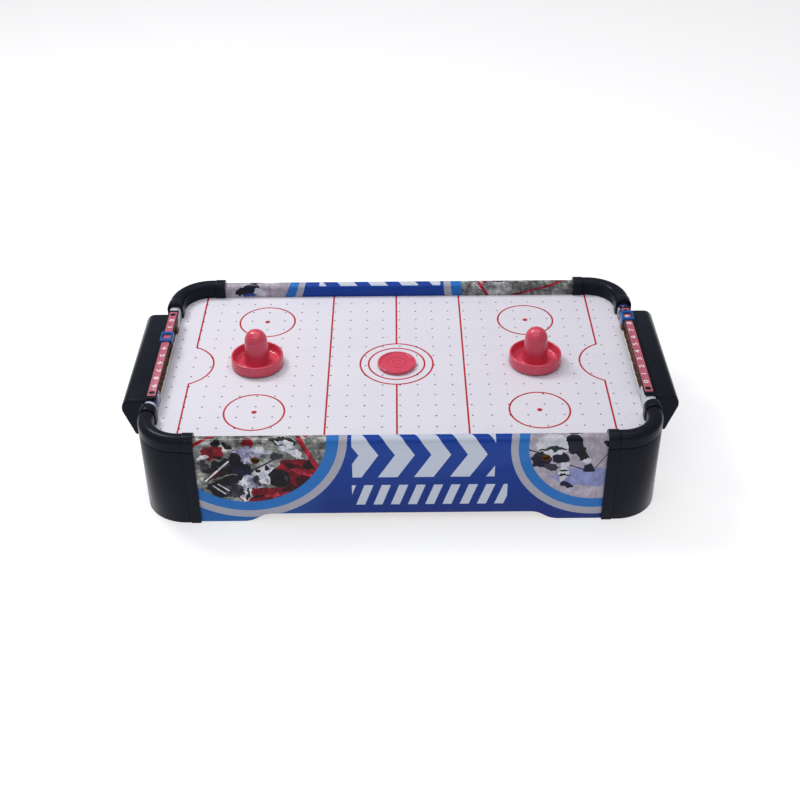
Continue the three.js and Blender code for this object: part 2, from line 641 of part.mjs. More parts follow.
const { x: batteryX, halfX: boxX, halfY: boxY } = BATTERY;
const boxHigh = BASE_Z - GAP;
const doorSlot = [batteryX - DOOR.halfX - GAP, batteryX + DOOR.halfX + GAP];
const THUMB_HALF = 14; // half width of the ribs that a thumb pushes, which pass out through a notch
const batteryBox = cut(
  box(batteryX - boxX, batteryX + boxX, -boxY, boxY, BATTERY.low, boxHigh),
  box(
    batteryX - boxX + BATTERY.wall, batteryX + boxX - BATTERY.wall,
    -boxY + BATTERY.wall, boxY - BATTERY.wall, BATTERY.low - 1, boxHigh - BATTERY.roof,
  ),
  box(...doorSlot, -boxY - 1, boxY - BATTERY.wall, DOOR.low - GAP, DOOR.high + GAP),
  box(batteryX - THUMB_HALF - 1, batteryX + THUMB_HALF + 1, -boxY - 1, -boxY + 5, BATTERY.low - 1, DOOR.low),
);
add('battery_box', batteryBox, FINISH.blackPlastic);

const doorPlate = box(
  batteryX - DOOR.halfX, batteryX + DOOR.halfX, -boxY, boxY - BATTERY.wall - GAP, DOOR.low, DOOR.high,
);
const thumbRibs = [-14, -10, -6].map((y) =>
  box(batteryX - THUMB_HALF, batteryX + THUMB_HALF, y, y + 1.6, DOOR.low - 0.8, DOOR.low + 1));
add('battery_door', join(doorPlate, ...thumbRibs), FINISH.blackPlastic);

const cellShape = [
  [0, -CELL.length / 2],
  [CELL.radius - 0.8, -CELL.length / 2],
  [CELL.radius, -CELL.length / 2 + 0.8],
  [CELL.radius, CELL.length / 2 - 2.2],
  [CELL.radius - 0.8, CELL.length / 2 - 1.4],
  [2.6, CELL.length / 2 - 1.4],
  [2.6, CELL.length / 2],
  [0, CELL.length / 2],
];
for (let i = 0; i < CELL.count; i++) {
  const way = i % 2 === 0 ? 1 : -1;
  const cell = turned(cellShape, 0, 0, 14).rotateX((way * Math.PI) / 2);
  const x = batteryX + (i - (CELL.count - 1) / 2) * CELL.pitch;
  add(`cell_${i + 1}`, cell, FINISH.cell, [x, 0, CELL.z]);
}
for (const [face, ySign] of FACES) {
  const y = ySign * (boxY - BATTERY.wall - 0.6);
  add(`contact_strip_${face}`, box(batteryX - 44, batteryX + 44, y - 0.25, y + 0.25, 27, 38), FINISH.steel);
}

// ---- switch and leads ------------------------------------------------------------------------------------

const bezelOut = OUTER_Y + GAP;
const rockerPivot = [SWITCH.x, bezelOut - 0.9, SWITCH.z];
const switchBody = cut(
  join(
    box(
      SWITCH.x - SWITCH.bodyX / 2, SWITCH.x + SWITCH.bodyX / 2, bezelOut - SWITCH.depth, bezelOut + 1,
      SWITCH.z - SWITCH.bodyZ / 2, SWITCH.z + SWITCH.bodyZ / 2,
    ),
    box(
      SWITCH.x - SWITCH.bezelX / 2, SWITCH.x + SWITCH.bezelX / 2, bezelOut, bezelOut + 1.8,
      SWITCH.z - SWITCH.bezelZ / 2, SWITCH.z + SWITCH.bezelZ / 2,
    ),
  ),
  box(SWITCH.x - 5.3, SWITCH.x + 5.3, bezelOut - 7, bezelOut + 3, SWITCH.z - 8, SWITCH.z + 8),
);
add('switch_body', switchBody, FINISH.blackPlastic);

// The rocker's face is a shallow vee, and it is drawn level and then tilted to its "off" side.
const rockerShape = polygon([
  [-4, -4.5], [4, -4.5], [7.2, 1.6], [0, 0.8], [-7.2, 1.6],
]);
const rocker = prism(rockerShape, 'X', -5, 5);
rocker.rotateX(-QUARTER);
rocker.rotateX(THREE.MathUtils.degToRad(SWITCH.tilt));
add('switch_rocker', rocker, FINISH.blackPlastic, rockerPivot);

function lead(points) {
  const route = points.map((point) => new THREE.Vector3(...point));
  const path = new THREE.CatmullRomCurve3(route, false, 'catmullrom', 0.4);
  const section = polygon(arc(0, 0, LEAD_RADIUS, 0, 2 * Math.PI, 8).slice(0, -1));
  return new THREE.ExtrudeGeometry(section, { steps: 18, extrudePath: path });
}

const switchBack = bezelOut - SWITCH.depth - 0.6;
add('battery_lead', lead([
  [...leadHole, BASE_Z + 0.3],
  [...leadHole, baseTop + 4],
  [104, 34, baseTop + 7],
  [132, 92, baseTop + 6],
  [147, 124, 55],
  [147, switchBack, 56],
]), FINISH.lead);
add('motor_lead', lead([
  [153, switchBack, 64],
  [151, 122, 64],
  [118, 70, 62],
  [60, 22, 66],
  [24, 4, 72],
  [MOTOR.radius + 0.8, 0, 73],
]), FINISH.lead);

export default table;
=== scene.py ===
"""Tabletop air hockey table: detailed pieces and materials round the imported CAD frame.

Sizes are in millimetres until a mesh is made, in the CAD's own frame: +Z up, origin on the floor
under the middle of the table, +X along its length, +Y towards the back.
"""
import math
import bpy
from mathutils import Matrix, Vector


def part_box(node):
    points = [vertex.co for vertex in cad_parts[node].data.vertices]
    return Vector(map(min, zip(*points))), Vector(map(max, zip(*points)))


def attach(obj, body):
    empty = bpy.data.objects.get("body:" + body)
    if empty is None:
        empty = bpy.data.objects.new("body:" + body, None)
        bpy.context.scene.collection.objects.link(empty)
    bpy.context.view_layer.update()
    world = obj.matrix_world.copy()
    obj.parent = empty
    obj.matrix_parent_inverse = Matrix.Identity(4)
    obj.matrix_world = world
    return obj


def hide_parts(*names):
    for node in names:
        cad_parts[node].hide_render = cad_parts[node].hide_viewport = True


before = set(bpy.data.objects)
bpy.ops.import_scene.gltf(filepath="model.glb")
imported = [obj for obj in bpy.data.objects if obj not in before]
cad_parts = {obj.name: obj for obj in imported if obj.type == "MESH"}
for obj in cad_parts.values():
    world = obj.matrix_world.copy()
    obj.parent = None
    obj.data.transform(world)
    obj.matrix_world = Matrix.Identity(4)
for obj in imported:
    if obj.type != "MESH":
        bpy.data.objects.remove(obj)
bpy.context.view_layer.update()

from types import SimpleNamespace as Sizes

import bmesh
import bpy
from mathutils import Matrix, Vector

MM = 0.001
GAP = 0.3  # between neighbouring parts
SCENE = bpy.context.scene
SIDES = (("left", -1), ("right", 1))
FACES = (("front", -1), ("back", 1))
ENDS = (-1, 1)


# ---- driving sizes, read from the frame ----

def box_mm(node):
    """Lowest and highest corner of a CAD node, in millimetres."""
    low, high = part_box(node)
    return low / MM, high / MM


FIELD_LOW, FIELD_HIGH = box_mm("playfield")
FIELD_Z = FIELD_HIGH.z
INNER_X, INNER_Y = FIELD_HIGH.x + GAP, FIELD_HIGH.y + GAP
SIDE_END, OUTER_Y, RAIL_TOP = box_mm("side_rail_back")[1]
OUTER_X, END_END, _ = box_mm("end_rail_right")[1]
RAIL_ROUND = 5
SPRING = RAIL_TOP - RAIL_ROUND  # where the rounding of a board's top starts
(MOUTH_X, MOUTH_Y, _), CAP_HIGH = box_mm("corner_cap_back_right")
POST_TOP = box_mm("corner_post_back_right")[1].z
GOAL_LOW, GOAL_HIGH = box_mm("goal_box_right")
BAR_LOW, BAR_HIGH = box_mm("score_bar_right")
BAR_X = (BAR_LOW.x + BAR_HIGH.x) / 2
STRIP_LOW, STRIP_HIGH = box_mm("score_strip_right")


# ---- camera, light and floor ----

CAMERA = Sizes(at=(-0.4, -1102.3, 821.9), target=(-0.2, -66.4, 85.5), roll=-0.0088, lens=56.5)
LAMPS = {  # place and size in metres, and power in watts
    "key": ((-0.75, 0.55, 1.25), (0.45, 0.45), 10),
    "overhead": ((0.1, 0.25, 1.7), (1.6, 1.2), 10.2),
    "strip": ((-0.1, -0.8, 1.25), (1.5, 0.04), 2.8),
    "fill": ((-0.3, -1.7, 0.7), (1.4, 0.5), 1.3),
}
LAMP_TARGET = Vector((0, 0, 0.05))
SURROUND = {"Color": (0.95, 0.96, 1.0, 1.0), "Strength": 0.28}
FLOOR = Sizes(reach=4000, low=-2, high=-0.05)


def linked(name, data):
    """A new object of that data, in the scene."""
    made = bpy.data.objects.new(name, data)
    SCENE.collection.objects.link(made)
    return made


def make_camera():
    data = bpy.data.cameras.new("camera")
    data.lens = CAMERA.lens
    data.sensor_width = 36
    data.clip_start, data.clip_end = 0.05, 50
    at, target = Vector(CAMERA.at) * MM, Vector(CAMERA.target) * MM
    aim = (target - at).to_track_quat("-Z", "Y").to_matrix().to_4x4()
    SCENE.camera = linked("camera", data)
    SCENE.camera.matrix_world = Matrix.Translation(at) @ aim @ Matrix.Rotation(CAMERA.roll, 4, "Z")


def make_stage():
    """Pale floor, a bright even surround and soft boxes; the key stands to the left and behind."""
    SCENE.world = bpy.data.worlds.new("surround")
    SCENE.world.use_nodes = True
    for socket, value in SURROUND.items():
        SCENE.world.node_tree.nodes["Background"].inputs[socket].default_value = value
    for name, (at, size, power) in LAMPS.items():
        data = bpy.data.lights.new(name, "AREA")
        data.shape = "RECTANGLE"
        data.size, data.size_y = size
        data.energy = power
        lamp = linked(name, data)
        lamp.location = at
        lamp.rotation_euler = (LAMP_TARGET - Vector(at)).to_track_quat("-Z", "Y").to_euler()
    SCENE.view_settings.view_transform = "Standard"
    reach = FLOOR.reach
    floor = mesh_object("floor", *block(-reach, reach, -reach, reach, FLOOR.low, FLOOR.high))
    floor_finish()
    floor.data.materials.append(FINISHES["floor"])


# ---- meshes ----

PLANES = {"X": (1, 2, 0), "Y": (2, 0, 1), "Z": (0, 1, 2)}  # axes of an outline's two values and of its push
MERGE = Sizes(doubles=1e-7, slivers=3e-6, solids=1e-6)  # metres


def arc(a, b, radius, start, end, steps=8):
    """Points of an arc about (a, b), both ends included, angles in degrees. The radius may be a pair."""
    along, across = radius if isinstance(radius, tuple) else (radius, radius)
    angles = [math.radians(start + (end - start) * i / steps) for i in range(steps + 1)]
    return [(a + along * math.cos(t), b + across * math.sin(t)) for t in angles]


def rectangle(a0, a1, b0, b1, *radius):
    """Corners of a rectangle, each with the radius when there is one."""
    return [(a, b, *radius) for a, b in ((a0, b0), (a1, b0), (a1, b1), (a0, b1))]


def rounded(corners, closed=True, steps=5):
    """An outline of (a, b) or (a, b, radius) corners, each rounded with its radius."""
    points = []
    for i, corner in enumerate(corners):
        here = Vector(corner[:2])
        radius = corner[2] if len(corner) > 2 else 0
        if radius == 0 or (not closed and i in (0, len(corners) - 1)):
            points.append(tuple(here))
            continue
        to_last = (Vector(corners[i - 1][:2]) - here).normalized()
        to_next = (Vector(corners[(i + 1) % len(corners)][:2]) - here).normalized()
        half = to_last.angle(to_next) / 2
        centre = here + (to_last + to_next).normalized() * (radius / math.sin(half))
        first = here + to_last * (radius / math.tan(half)) - centre
        turn = first.angle_signed(here + to_next * (radius / math.tan(half)) - centre)
        for step in range(steps + 1):
            points.append(tuple(centre + Matrix.Rotation(-turn * step / steps, 2) @ first))
    return points


def prism(outline, along, low, high):
    """Points and faces of an outline pushed along an axis: X takes (y, z), Y (z, x) and Z (x, y)."""
    axes = PLANES[along]
    count = len(outline)
    points = []
    for level in (low, high):
        for a, b in outline:
            point = [0, 0, 0]
            point[axes[0]], point[axes[1]], point[axes[2]] = a, b, level
            points.append(point)
    sides = [[i, (i + 1) % count, count + (i + 1) % count, count + i] for i in range(count)]
    return points, sides + [list(range(count)), list(range(2 * count - 1, count - 1, -1))]


def block(x0, x1, y0, y1, z0, z1):
    return prism(rectangle(x0, x1, y0, y1), "Z", z0, z1)


def rod(along, radius, low, high, a, b, facets=32):
    return prism(arc(a, b, radius, 0, 360, facets)[:-1], along, low, high)


def loft(rings, closed=True):
    """Points and faces that join rings of equal size, and close the first and last when asked."""
    count = len(rings[0])
    points = [point for ring in rings for point in ring]
    faces = []
    for level in range(len(rings) - 1):
        for i in range(count):
            a, b = level * count + i, level * count + (i + 1) % count
            faces.append([a, b, b + count, a + count])
    if closed:
        last = (len(rings) - 1) * count
        faces += [list(range(count)), list(range(last + count - 1, last - 1, -1))]
    return points, faces


def lathe(profile, facets, at=(0, 0)):
    """Points and faces of a turned piece from (radius, height) pairs, which start and end on its axis."""
    rings = []
    for radius, height in profile:
        rings.append([(x, y, height) for x, y in arc(*at, radius, 0, 360, facets)[:-1]])
    return loft(rings, closed=False)


def merged(mesh, reach, *parts, outwards=False, empty=False, flat=False):
    """Adds parts to a mesh and merges points that lie closer than that. Then, when asked, it turns faces
    outwards, drops empty ones or joins those that lie flat to each other."""
    edit = bmesh.new()
    for part in (mesh, *parts):
        edit.from_mesh(part)
    bmesh.ops.remove_doubles(edit, verts=edit.verts, dist=reach)
    if outwards:
        bmesh.ops.recalc_face_normals(edit, faces=edit.faces)
    if empty:
        bmesh.ops.dissolve_degenerate(edit, dist=reach, edges=edit.edges)
    if flat:
        bmesh.ops.dissolve_limit(edit, angle_limit=math.radians(1), verts=edit.verts, edges=edit.edges)
    edit.to_mesh(mesh)
    edit.free()


def mesh_object(name, points, faces):
    """An object of that mesh, its doubled points merged and its faces turned outwards."""
    mesh = bpy.data.meshes.new(name)
    mesh.from_pydata([[value * MM for value in point] for point in points], [], faces)
    merged(mesh, MERGE.doubles, outwards=True)
    return linked(name, mesh)


def modified(piece, kind, **settings):
    """Applies a modifier to a piece."""
    modifier = piece.modifiers.new("change", kind)
    for key, value in settings.items():
        setattr(modifier, key, value)
    mesh = bpy.data.meshes.new_from_object(piece.evaluated_get(bpy.context.evaluated_depsgraph_get()))
    piece.modifiers.clear()
    piece.data = mesh


def cut(piece, *tools, operation="DIFFERENCE"):
    """Cuts each tool, given as points and faces, from the piece."""
    for tool in tools:
        cutter = mesh_object("tool", *tool)
        modified(piece, "BOOLEAN", operation=operation, solver="EXACT", object=cutter)
        bpy.data.objects.remove(cutter)


def join(piece, *tools):
    cut(piece, *tools, operation="UNION")


def bevel(piece, width, segments=2, angle=35):
    modified(piece, "BEVEL", width=width * MM, segments=segments, limit_method="ANGLE",
             angle_limit=math.radians(angle), use_clamp_overlap=True)
    merged(piece.data, MERGE.slivers, empty=True)


def mirrored(piece, x_sign, y_sign):
    """Turns a piece made for the back right corner into another corner's."""
    piece.data.transform(Matrix.Diagonal((x_sign, y_sign, 1, 1)))
    if x_sign * y_sign < 0:
        piece.data.flip_normals()


def coat(mesh, finish):
    mesh.materials.clear()
    mesh.materials.append(FINISHES[finish])


def stand_for(piece, node, slot, *finishes, body="table", smooth=32):
    """Shades a piece smooth up to that angle, puts it in a CAD node's place and gives it its finishes,
    or the one named after its slot."""
    piece.data.shade_smooth()
    piece.data.set_sharp_from_angle(angle=math.radians(smooth))
    for index, name in enumerate(finishes or [slot]):
        if index == len(piece.data.materials):
            piece.data.materials.append(None)
        piece.data.materials[index] = FINISHES[name]
    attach(piece, body)
    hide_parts(node)


# ---- material building ----

def srgb(red, green, blue):
    """A colour from its usual 0 to 255 values."""
    def linear(value):
        value /= 255
        return value / 12.92 if value <= 0.04045 else ((value + 0.055) / 1.055) ** 2.4
    return (linear(red), linear(green), linear(blue), 1.0)


def grey(level):
    return (level, level, level, 1)


def lit(colour, share):
    """A colour made lighter or darker by that share."""
    return tuple(min(1, part * share) for part in colour[:3]) + (1,)


FINISHES = {}


class Finish:
    """One material, listed in FINISHES. Places are in millimetres of the piece's own frame."""

    def __init__(self, name, roughness, **settings):
        FINISHES[name] = bpy.data.materials.new(name)
        FINISHES[name].use_nodes = True
        self.tree = FINISHES[name].node_tree
        self.shader = self.tree.nodes["Principled BSDF"]
        self.shader.inputs["Roughness"].default_value = roughness
        for socket, value in settings.items():
            self.shader.inputs[socket.replace("_", " ")].default_value = value
        self.place = self.vector("SCALE", self.node("ShaderNodeTexCoord", result="Object"), scale=1 / MM)

    def feed(self, socket, value):
        if isinstance(value, bpy.types.NodeSocket):
            self.tree.links.new(value, socket)
        else:
            socket.default_value = value

    def node(self, kind, *values, result=0, named=None, **settings):
        """Adds a node, feeds its first inputs and the named ones, and gives one of its outputs."""
        made = self.tree.nodes.new(kind)
        for key, value in settings.items():
            setattr(made, key, value)
        for key, value in (*enumerate(values), *(named or {}).items()):
            self.feed(made.inputs[key], value)
        return made.outputs[result]

    def math(self, operation, a, b=0.0, c=0.0, clamp=False):
        return self.node("ShaderNodeMath", a, b, c, operation=operation, use_clamp=clamp)

    def times(self, a, b):
        return self.math("MULTIPLY", a, b)

    def less(self, a, b):
        """1 where a is less than b, else 0."""
        return self.math("LESS_THAN", a, b)

    def more(self, a, b):
        """1 where a is more than b, else 0."""
        return self.math("GREATER_THAN", a, b)

    def near(self, value, at, half):
        """1 where the value is within that distance, else 0."""
        return self.math("COMPARE", value, at, half)

    def size(self, value):
        return self.math("ABSOLUTE", value)

    def any_of(self, masks):
        total = masks[0]
        for mask in masks[1:]:
            total = self.math("MAXIMUM", total, mask)
        return total

    def vector(self, operation, a, b=(0, 0, 0), plus=(0, 0, 0), scale=1.0, result=0):
        return self.node("ShaderNodeVectorMath", a, b, plus, scale, operation=operation, result=result)

    def split(self, vector):
        return list(self.node("ShaderNodeSeparateXYZ", vector).node.outputs)

    def combine(self, x, y):
        return self.node("ShaderNodeCombineXYZ", x, y)

    def distance(self, where, centre=(0, 0)):
        """How far a place on the flat is from a point."""
        offset = self.vector("SUBTRACT", where, (*centre, 0))
        return self.vector("LENGTH", offset, result=1)

    def noise(self, size, detail, where=None, stretch=(1, 1, 1), result="Fac"):
        """Noise from 0 to 1 whose blobs are about that many millimetres across."""
        place = self.vector("DIVIDE", where or self.place, stretch)
        return self.node("ShaderNodeTexNoise", place, named={"Scale": 1 / size, "Detail": detail},
                         result=result)

    def patches(self, size, detail, low, high, where=None, stretch=(1, 1, 1)):
        """Noise with its contrast raised, so that it runs from 0 to 1 between low and high."""
        return self.between(self.noise(size, detail, where, stretch), low, high)

    def drift(self, size, detail, where):
        """Noise as a vector about zero."""
        return self.vector("SUBTRACT", self.noise(size, detail, where, result="Color"), (0.5, 0.5, 0.5))

    def cells(self, size, where, stretch):
        place = self.vector("DIVIDE", where, stretch)
        return self.node("ShaderNodeTexVoronoi", place, named={"Scale": 1 / size}, result="Color")

    def between(self, value, low, high, first=0.0, last=1.0):
        """Runs from first to last as the value goes from low to high."""
        return self.node("ShaderNodeMapRange", value, low, high, first, last)

    def ramp(self, value, stops, stepped=False):
        made = self.node("ShaderNodeValToRGB", value)
        scale = made.node.color_ramp
        scale.interpolation = "CONSTANT" if stepped else "LINEAR"
        for index, (position, colour) in enumerate(stops):
            element = scale.elements[index] if index < 2 else scale.elements.new(position)
            element.position, element.color = position, colour
        return made

    def mix(self, share, first, second, blend="MIX"):
        return self.node("ShaderNodeMix", result=2, named={0: share, 6: first, 7: second},
                         data_type="RGBA", blend_type=blend)

    def stroke(self, where, start, end, half):
        """1 on a straight bar between two points, else 0."""
        run = Vector((*end, 0)) - Vector((*start, 0))
        offset = self.vector("SUBTRACT", where, (*start, 0))
        along = self.vector("DOT_PRODUCT", offset, run / run.length_squared, result=1)
        foot = self.vector("SCALE", tuple(run), scale=self.math("ADD", along, 0, clamp=True))
        return self.less(self.vector("LENGTH", self.vector("SUBTRACT", offset, foot), result=1), half)

    def inside(self, where, centre, radii, turn=0):
        """1 inside an ellipse turned by that many degrees, else 0."""
        offset = self.vector("SUBTRACT", where, (*centre, 0))
        if turn:
            angle = {"Angle": math.radians(-turn)}
            offset = self.node("ShaderNodeVectorRotate", offset, named=angle, rotation_type="Z_AXIS")
        share = self.vector("DIVIDE", offset, (*radii, 1))
        return self.less(self.vector("LENGTH", share, result=1), 1)

    def paint(self, colour):
        self.feed(self.shader.inputs["Base Color"], colour)

    def gloss(self, value, low, high):
        """Roughness from low to high as the value goes from 0 to 1."""
        self.feed(self.shader.inputs["Roughness"], self.between(value, 0.0, 1.0, low, high))

    def relief(self, height, depth):
        """Bumps whose highest point stands that many millimetres proud."""
        bumps = self.node("ShaderNodeBump", named={"Distance": depth * MM, "Height": height})
        self.feed(self.shader.inputs["Normal"], bumps)


# ---- finishes ----

BLACK = srgb(28, 30, 38)
FIELD_WHITE = srgb(226, 223, 233)
LINE_RED = srgb(182, 23, 37)
BOARD_BROWN = srgb(122, 82, 44)


def floor_finish():
    finish = Finish("floor", 0.7, Emission_Color=grey(1), Emission_Strength=0.62)
    finish.paint(finish.mix(finish.noise(400, 2), srgb(188, 189, 191), srgb(192, 192, 194)))


def moulded(name, colour, roughness, lighter, **settings):
    """Moulded plastic: fine tool grain, slow changes of colour, and a few rubbed patches."""
    finish = Finish(name, roughness, **settings)
    slow = finish.patches(38, 3, 0.35, 0.75)
    finish.paint(finish.mix(slow, colour, lit(colour, lighter)))
    rubbed = finish.patches(9, 5, 0.4, 0.75, stretch=(3, 1, 1))
    finish.gloss(rubbed, roughness * 0.85, roughness * 1.2)
    marks = finish.patches(1.2, 1, 0.68, 0.8, stretch=(14, 1, 1))
    finish.relief(finish.math("SUBTRACT", finish.noise(0.35, 2), finish.times(marks, 0.15)), 0.014)


def notch_coat(finish):
    """1 on the ragged white strip along the playfield's edge on the floor of each goal mouth, else 0."""
    x, y, z = finish.split(finish.place)
    reach = finish.times(finish.noise(9, 3, finish.combine(0, y)), 2.6)
    coated = finish.less(finish.size(x), finish.math("ADD", reach, INNER_X + 0.6))
    return finish.times(coated, finish.near(z, FIELD_Z - GAP, 0.4))


def raw_board(name, colour=BOARD_BROWN, size=1.0, coat=None):
    """Sawn fibreboard: short matted fibres in mixed browns."""
    finish = Finish(name, 0.85, Specular_IOR_Level=0.25)
    fibres = finish.noise(1.1 * size, 5, stretch=(3, 3, 1))
    dark = lit(colour, 0.45)
    tint = finish.ramp(fibres, [(0.3, dark), (0.52, colour), (0.75, lit(colour, 1.5))])
    clumps = finish.patches(6 * size, 3, 0.35, 0.8)
    tint = finish.mix(clumps, tint, dark, "MULTIPLY")
    finish.paint(finish.mix(coat(finish), tint, FIELD_WHITE) if coat else tint)
    finish.relief(fibres, 0.25)


def metal(name, colour, roughness, brushed=(1, 1, 12)):
    finish = Finish(name, roughness, Metallic=1.0)
    lines = finish.noise(0.5, 4, stretch=brushed)
    finish.paint(finish.mix(finish.between(lines, 0.3, 0.7), lit(colour, 0.7), colour))
    finish.gloss(lines, roughness * 0.8, roughness * 1.4)
    finish.relief(lines, 0.01)


def felt_finish():
    finish = Finish("felt", 0.95, Sheen_Weight=0.5, Sheen_Roughness=0.5, Specular_IOR_Level=0.1)
    fluff = finish.noise(0.6, 6)
    finish.paint(finish.ramp(fluff, [(0.35, srgb(18, 16, 17)), (0.7, srgb(52, 47, 48))]))
    finish.relief(fluff, 0.3)


def red_finish():
    """Bright injection-moulded red, slightly cloudy and scuffed."""
    finish = Finish("red_plastic", 0.32, Subsurface_Weight=0.06, Subsurface_Scale=0.004, Coat_Weight=0.15,
                    Coat_Roughness=0.15)
    cloudy = finish.patches(16, 4, 0.3, 0.75)
    finish.paint(finish.mix(cloudy, srgb(211, 63, 87), srgb(216, 74, 100)))
    scuffs = finish.patches(2.2, 5, 0.55, 0.8, stretch=(4, 1, 2))
    finish.gloss(scuffs, 0.27, 0.36)
    finish.relief(finish.noise(0.5, 2), 0.003)


def cell_finish():
    """A cell's printed jacket: a dark body with a pale band towards each end."""
    half = 25
    finish = Finish("cell_jacket", 0.3, Coat_Weight=0.4)
    band = finish.near(finish.size(finish.split(finish.place)[1]), half * 0.62, half * 0.12)
    body = finish.mix(finish.noise(3, 2), srgb(30, 74, 58), srgb(44, 98, 76))
    finish.paint(finish.mix(band, body, srgb(206, 188, 120)))
    finish.gloss(finish.noise(1.5, 4), 0.22, 0.38)
    finish.relief(finish.noise(0.8, 3), 0.02)


def strip_finish():
    """Matt pink plastic of the number strips, dirtied a little."""
    finish = Finish("pink_strip", 0.5)
    dirt = finish.patches(5, 6, 0.5, 0.8)
    finish.paint(finish.mix(dirt, srgb(184, 92, 112), srgb(162, 76, 96)))
    finish.gloss(dirt, 0.42, 0.6)
    finish.relief(finish.noise(0.4, 3), 0.02)


def digit_finish():
    finish = Finish("digit_paint", 0.5)
    finish.paint(finish.mix(finish.noise(0.8, 4), srgb(240, 238, 240), srgb(225, 220, 226)))
    finish.relief(finish.noise(0.3, 2), 0.01)


# Rink lines, measured from the middle of the print, which sits a little left of the table's middle.
RINK = Sizes(middle=-3.4, half_line=0.97, zone=71, goal=215, rings=(29.5, 38.3), dot=2.75,
             spot=(142.9, 85.3), spot_ring=30.3, crease=231.2, crease_radius=38.0, crease_end=34.4)


def rink_lines(finish):
    """1 on the printed lines, else 0."""
    x, y, _ = finish.split(finish.vector("SUBTRACT", finish.place, (RINK.middle, 0, 0)))
    x_out, y_out, half = finish.size(x), finish.size(y), RINK.half_line
    folded = finish.combine(x_out, y_out)
    from_middle = finish.distance(finish.combine(x, y))
    from_spot = finish.distance(folded, RINK.spot)
    from_crease = finish.distance(folded, (RINK.crease, 0))
    centre_line = finish.times(finish.near(x, 0, half), finish.more(from_middle, RINK.rings[1]))
    goal_line = finish.times(finish.near(x_out, RINK.goal, half), finish.more(y_out, RINK.crease_end))
    crease = finish.times(finish.near(from_crease, RINK.crease_radius, half),
                          finish.less(x_out, RINK.goal + half))
    return finish.any_of([
        centre_line, goal_line, crease, finish.less(from_spot, RINK.dot),
        finish.near(x_out, RINK.zone, half), finish.near(from_spot, RINK.spot_ring, half),
        *[finish.near(from_middle, radius, half) for radius in RINK.rings],
    ])


def field_finish():
    """White coated board with its printed rink lines, faint blue mottling, dust and long fine scratches."""
    finish = Finish("white_field", 0.42, Coat_Weight=0.12, Coat_Roughness=0.3)
    mottled = finish.patches(3.2, 6, 0.35, 0.7)
    white = finish.mix(mottled, FIELD_WHITE, srgb(217, 215, 229))
    slow = finish.patches(70, 3, 0.3, 0.7)
    white = finish.mix(finish.times(slow, 0.5), white, srgb(230, 227, 233))
    specks = finish.patches(0.9, 2, 0.76, 0.8)
    white = finish.mix(finish.times(specks, 0.5), white, srgb(150, 140, 140))
    worn = finish.patches(4, 5, 0.62, 0.8)
    ink = finish.mix(finish.times(worn, 0.35), LINE_RED, white)
    finish.paint(finish.mix(rink_lines(finish), white, ink))
    scratches = finish.patches(1.5, 2, 0.66, 0.74, stretch=(40, 1, 1))
    finish.gloss(finish.math("ADD", scratches, mottled, clamp=True), 0.36, 0.5)
    finish.relief(finish.math("SUBTRACT", finish.noise(1.8, 3), scratches), 0.02)


# ---- printed wrap ----

# U runs along a board and V up its outer face from the playfield's level, then over its top and down
# its inner face, so one drawing covers all three.
WRAP = "wrap"
WRAP_EDGE = 49  # where the folded wrap ends, on the inner face below the playfield
PICTURES = {  # centre, radii, and how far the grey and the light blue ring reach beyond them
    "left": ((-149, 19), (78.3, 79.3), ((19.9, 19.6), (11.8, 11.1))),
    "right": ((188.8, 5), (66, 64.8), ((17.2, 19.6), (10, 11.1))),
}
BLUE_SHADE_FADE = (-86, 10)  # V over which the blue of the boards grows lighter from the foot upwards: painted shade that darkens the lower outer face
LEFT_FADE = (-150, -70)  # U over which the light blue of a side board's left end turns darker
END_PRINT = Sizes(blue=52, edge=50, edge_half=2, streaks=(60, 66))  # U, from the middle of an end board
ARROWS = Sizes(tip=-4, start=-66, slope=0.62, pitch=17.5, bar=9.5, middle=22, reach=69, half=27)
DASHES = Sizes(slope=0.35, pitch=8.5, bar=4.4, middle=28, reach=76, row=-53, half=12.3)
SKY, GREY_RING, LETTER_WHITE = srgb(40, 112, 188), srgb(166, 166, 180), srgb(196, 204, 220)
INK, NAVY, SLATE = srgb(20, 18, 26), srgb(22, 24, 46), srgb(56, 56, 66)
CRIMSON, WINE, CHALK = srgb(118, 10, 28), srgb(54, 6, 18), srgb(204, 204, 214)
LILAC, TEAL, ROSE = srgb(160, 158, 186), srgb(24, 46, 48), srgb(172, 40, 62)
FRAME_RED = srgb(160, 24, 44)
FACET_GREYS = (0.06, 0.5, 0.82, 0.3, 0.6, 0.12, 0.45)

